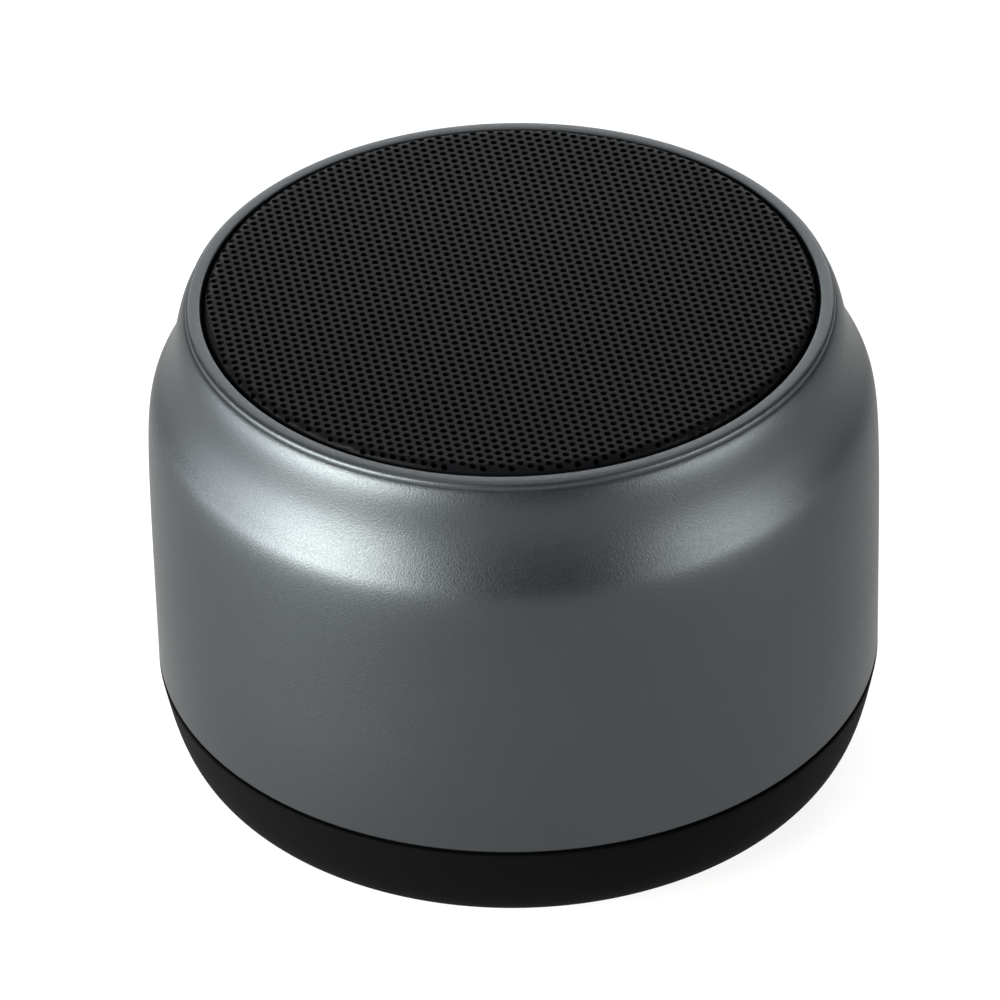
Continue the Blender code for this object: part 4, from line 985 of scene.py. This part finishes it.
# %% [markdown]
# ## Three sets of screws
#
# The same tree runs three times. The circle and the seat of each set come from the hidden model's
# own screws, so the visual ones sit exactly where the mechanical ones do. Zinc plating is bright
# but grey, with a fine grain.

# %% Screws
zinc = finish(
    "zinc_plating", (0.55, 0.56, 0.57), roughness=0.34, metallic=1.0, shade=0.08,
    shade_size=1.2 * MM, grain_size=0.08 * MM, grain_depth=0.003 * MM,
)
screws_made, screw_sockets = screw_tree(zinc)


def screw_set(name, nodes, head, tall, shank, downwards):
    low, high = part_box(nodes[0])
    middle = (low + high) / 2
    length = (high.z - low.z) / MM - tall
    values = {
        "Count": len(nodes),
        "Circle Radius": math.hypot(middle.x, middle.y),
        "First Bearing": math.atan2(middle.y, middle.x),
        "Head Radius": head * MM,
        "Head Height": tall * MM,
        "Shank Radius": shank * MM,
        "Shank Length": length * MM,
        "Seat Height": low.z + tall * MM if downwards else high.z - tall * MM,
        "Head Downwards": 1.0 if downwards else 0.0,
    }
    made = from_tree(screws_made, screw_sockets, values, name)
    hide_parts(*nodes)
    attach(made, "housing")
    return made


screw_set("base_screws", [f"base_screw_{i}" for i in (1, 2, 3, 4)], 1.75, 1.2, 1.0, True)
screw_set("board_screws", [f"board_screw_{i}" for i in (1, 2, 3)], 1.5, 0.9, 0.8, False)
screw_set("driver_screws", [f"driver_screw_{i}" for i in (1, 2, 3, 4)], 1.25, 0.9, 0.7, False)

# %% [markdown]
# ## The charging socket
#
# The socket is a drawn steel shell, oval in section, with a plastic tongue that carries twelve flat
# contacts on each face. The shell is one rounded bar hollowed by another. The contacts repeat at
# half a millimetre, which is Geometry Nodes work again: one small bar, copied along two lines.

# %% Socket shell
socket_low, socket_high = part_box("usb_shell")
SOCKET_MOUTH, SOCKET_BACK, SOCKET_FLOOR = socket_high.y / MM, socket_low.y / MM, 1.6
socket_metal = finish(
    "nickel_plating", (0.5, 0.5, 0.49), roughness=0.3, metallic=1.0, shade=0.06,
    shade_size=2 * MM, grain_size=0.06 * MM, grain_depth=0.002 * MM,
)
socket_shape = rounded_bar(3.2, 8.94, 1.45, SOCKET_BACK, SOCKET_MOUTH)
socket_shape = lay_outwards(socket_shape, SOCKET_BEARING)
socket_shell = finished_object(socket_shape, "socket_shell", socket_metal)
hollow = rounded_bar(2.6, 8.34, 1.15, SOCKET_BACK + SOCKET_FLOOR, SOCKET_MOUTH + 1)
carve(socket_shell, [finished_object(lay_outwards(hollow, SOCKET_BEARING), "hollow")])
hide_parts("usb_shell")
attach(socket_shell, "housing")
print("socket shell:", round(SOCKET_MOUTH - SOCKET_BACK, 1), "mm deep")

# %% [markdown]
# ## Contacts
#
# Each contact is a strip of gold-plated bronze let into the tongue, so it stands only a few
# hundredths of a millimetre proud. The pitch, the strip's size and the two heights are inputs of
# the tree.

# %% Contacts
tongue_low, tongue_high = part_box("usb_tongue")


def contact_tree(material):
    labels = ("Pitch", "Strip Width", "Strip Length", "Strip Thickness")
    labels += ("Start", "Strip Middle", "Lower Height", "Upper Height", "Count")
    tree, sockets, given = new_tree("contact_strips", labels)
    size = vector(tree, given["Strip Width"], given["Strip Length"], given["Strip Thickness"])
    strip = step(tree, "MeshCube", Size=size)
    rows = []
    for height in (given["Lower Height"], given["Upper Height"]):
        start = vector(tree, given["Start"], given["Strip Middle"], height)
        points = line_of_points(tree, given["Count"], start, vector(tree, given["Pitch"]))
        rows.append(step(tree, "InstanceOnPoints", Points=points, Instance=strip))
    end_tree(tree, joined(tree, *rows), material)
    return tree, sockets


gold = finish(
    "gold_plating", (0.75, 0.52, 0.2), roughness=0.28, metallic=1.0, shade=0.05,
    shade_size=1 * MM, grain_size=0.05 * MM, grain_depth=0.001 * MM,
)
contacts_made, contact_sockets = contact_tree(gold)
contact_values = {
    "Count": 12,
    "Pitch": 0.5 * MM,
    "Strip Width": 0.26 * MM,
    "Strip Length": 2.6 * MM,
    "Strip Thickness": 0.06 * MM,
    "Start": -2.75 * MM,
    "Strip Middle": tongue_high.y - 1.8 * MM,
    "Lower Height": tongue_low.z,
    "Upper Height": tongue_high.z,
}
contacts = from_tree(contacts_made, contact_sockets, contact_values, "socket_contacts")
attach(contacts, "housing")

# %% [markdown]
# ## The button
#
# The button is a moulded cap with a softened edge and a slightly dished face, so that a fingertip
# finds it. A flange inside the wall keeps it from falling out. It moves inwards on its own body, so
# it rides on that body and not on the housing.

# %% Button cap
REAR_SKIN = min(base_rise(400), key=lambda point: abs(point[1] - REAR_HEIGHT))[0]
BUTTON_R, BUTTON_EDGE, FLANGE_R, FLANGE_THICK = 2.2, 0.25, 3.0, 0.6
BUTTON_DISH = ((1.6, 0.03), (1.0, 0.12), (0.5, 0.16), (0, 0.17))
button_node = [v.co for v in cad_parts["power_button"].data.vertices]
button_turn = math.radians(BUTTON_BEARING)
outwards = Vector((math.cos(button_turn), math.sin(button_turn), 0))
button_reach = [point.dot(outwards) / MM for point in button_node]
BUTTON_BACK, BUTTON_FACE = min(button_reach), max(button_reach)
button_outline = [
    (0, BUTTON_BACK),
    (FLANGE_R, BUTTON_BACK),
    (FLANGE_R, BUTTON_BACK + FLANGE_THICK),
    (BUTTON_R, BUTTON_BACK + FLANGE_THICK),
    *arc(BUTTON_R - BUTTON_EDGE, BUTTON_FACE - BUTTON_EDGE, BUTTON_EDGE, 0, 90, 6),
    *[(radius, BUTTON_FACE - depth) for radius, depth in BUTTON_DISH],
]
button_black = finish(
    "satin_black_button", (0.005, 0.005, 0.0052), roughness=0.45, shade=0.05, shade_size=2 * MM,
    grain_size=0.08 * MM, grain_depth=0.003 * MM, Specular_IOR_Level=0.12,
)
button_shape = lay_outwards(lathe(button_outline, 64, closed=False), BUTTON_BEARING)
button = finished_object(button_shape, "button_cap", button_black)
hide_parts("power_button")
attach(button, "power_button")
print(f"button stands {BUTTON_FACE - REAR_SKIN:.2f} mm proud, back at {BUTTON_BACK:.2f}")

# %% [markdown]
# ## Finishes for the parts inside
#
# The driver, the board and the battery keep the shapes of the hidden model and get finishes of
# their own. Each one is a few numbers for the same helper: paper has a coarse pulp grain, ferrite a
# sandy one, wire enamel is glossy, and the spider takes the weave that the dust cloth has.

# %% Finishes of the inner parts
fine = {"grain_size": 0.1 * MM, "grain_depth": 0.004 * MM, "shade_size": 4 * MM}
inner_finishes = {
    "bracket_plastic": finish("dark_grey_moulding", (0.045, 0.045, 0.048), 0.6, **fine),
    "button_plastic": button_black,
    "base_plastic": mould_black,
    "seal_rubber": finish("seal_rubber_black", (0.018, 0.018, 0.018), 0.75, shade=0.2, **fine),
    "basket_steel": finish("basket_black_paint", (0.014, 0.014, 0.015), 0.45, **fine),
    "cone_paper": finish(
        "pressed_pulp", (0.022, 0.021, 0.02), 0.88, shade=0.3, shade_size=1.5 * MM,
        grain_size=0.3 * MM, grain_depth=0.05 * MM,
    ),
    "amber_film": finish("amber_film", (0.5, 0.22, 0.03), 0.25, shade=0.05, **fine),
    "copper_wire": finish(
        "enamelled_copper", (0.7, 0.3, 0.12), 0.28, metallic=1.0, shade=0.2,
        shade_size=0.4 * MM, grain_size=0.15 * MM, grain_depth=0.03 * MM, stretch=(1, 1, 12),
    ),
    "spider_cloth": woven("treated_weave", (0.5, 0.32, 0.12), 0.3 * MM, 0.8, 0.06 * MM),
    "plated_steel": zinc,
    "ferrite": finish(
        "sintered_ferrite", (0.045, 0.045, 0.048), 0.7, shade=0.2, shade_size=2 * MM,
        grain_size=0.2 * MM, grain_depth=0.03 * MM,
    ),
    "red_insulation": finish("red_wire_sleeve", (0.45, 0.02, 0.015), 0.4, shade=0.08, **fine),
    "black_insulation": finish("black_wire_sleeve", (0.015, 0.015, 0.015), 0.4, shade=0.08, **fine),
    "board_laminate": finish("green_laminate", (0.012, 0.09, 0.035), 0.35, shade=0.2, **fine),
    "chip_plastic": finish("moulded_epoxy", (0.018, 0.018, 0.019), 0.6, shade=0.1, **fine),
    "chip_ceramic": finish("white_ceramic", (0.6, 0.57, 0.5), 0.5, shade=0.05, **fine),
    "silver_foil": finish(
        "laminated_foil", (0.62, 0.63, 0.64), 0.32, metallic=1.0, shade=0.06, shade_size=6 * MM,
        grain_size=1.2 * MM, grain_depth=0.05 * MM,
    ),
    "connector_plastic": finish("ivory_connector", (0.65, 0.6, 0.48), 0.5, shade=0.05, **fine),
    "led_lens": finish("cloudy_lens", (0.75, 0.78, 0.75), 0.3, shade=0.05, **fine),
    "clear_plastic": finish(
        "clear_light_window", (0.85, 0.86, 0.86), 0.22, shade=0.03, Transmission_Weight=0.6,
        **fine,
    ),
    "grille_steel": black_paint,
    "shell_metal": gun_metal,
    "dust_cloth": black_cloth,
    "foot_rubber": foot_silicone,
}
print(len(inner_finishes), "finishes are ready")

# %% [markdown]
# ## Dressing the carried-over parts
#
# Each of these parts already carries a material named after its slot. Its place in the object's
# material slots is taken by the finish of the same name, so that no part is left with a plain
# colour.

# %% Assign the finishes
dressed = 0
for name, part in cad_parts.items():
    for place in part.material_slots:
        label = place.material.name.split(".")[0]
        if label not in inner_finishes:
            raise ValueError(f"{name} has a material {label} with no finish")
        place.material = inner_finishes[label]
        dressed += 1
print(dressed, "material places dressed on", len(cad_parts), "parts")
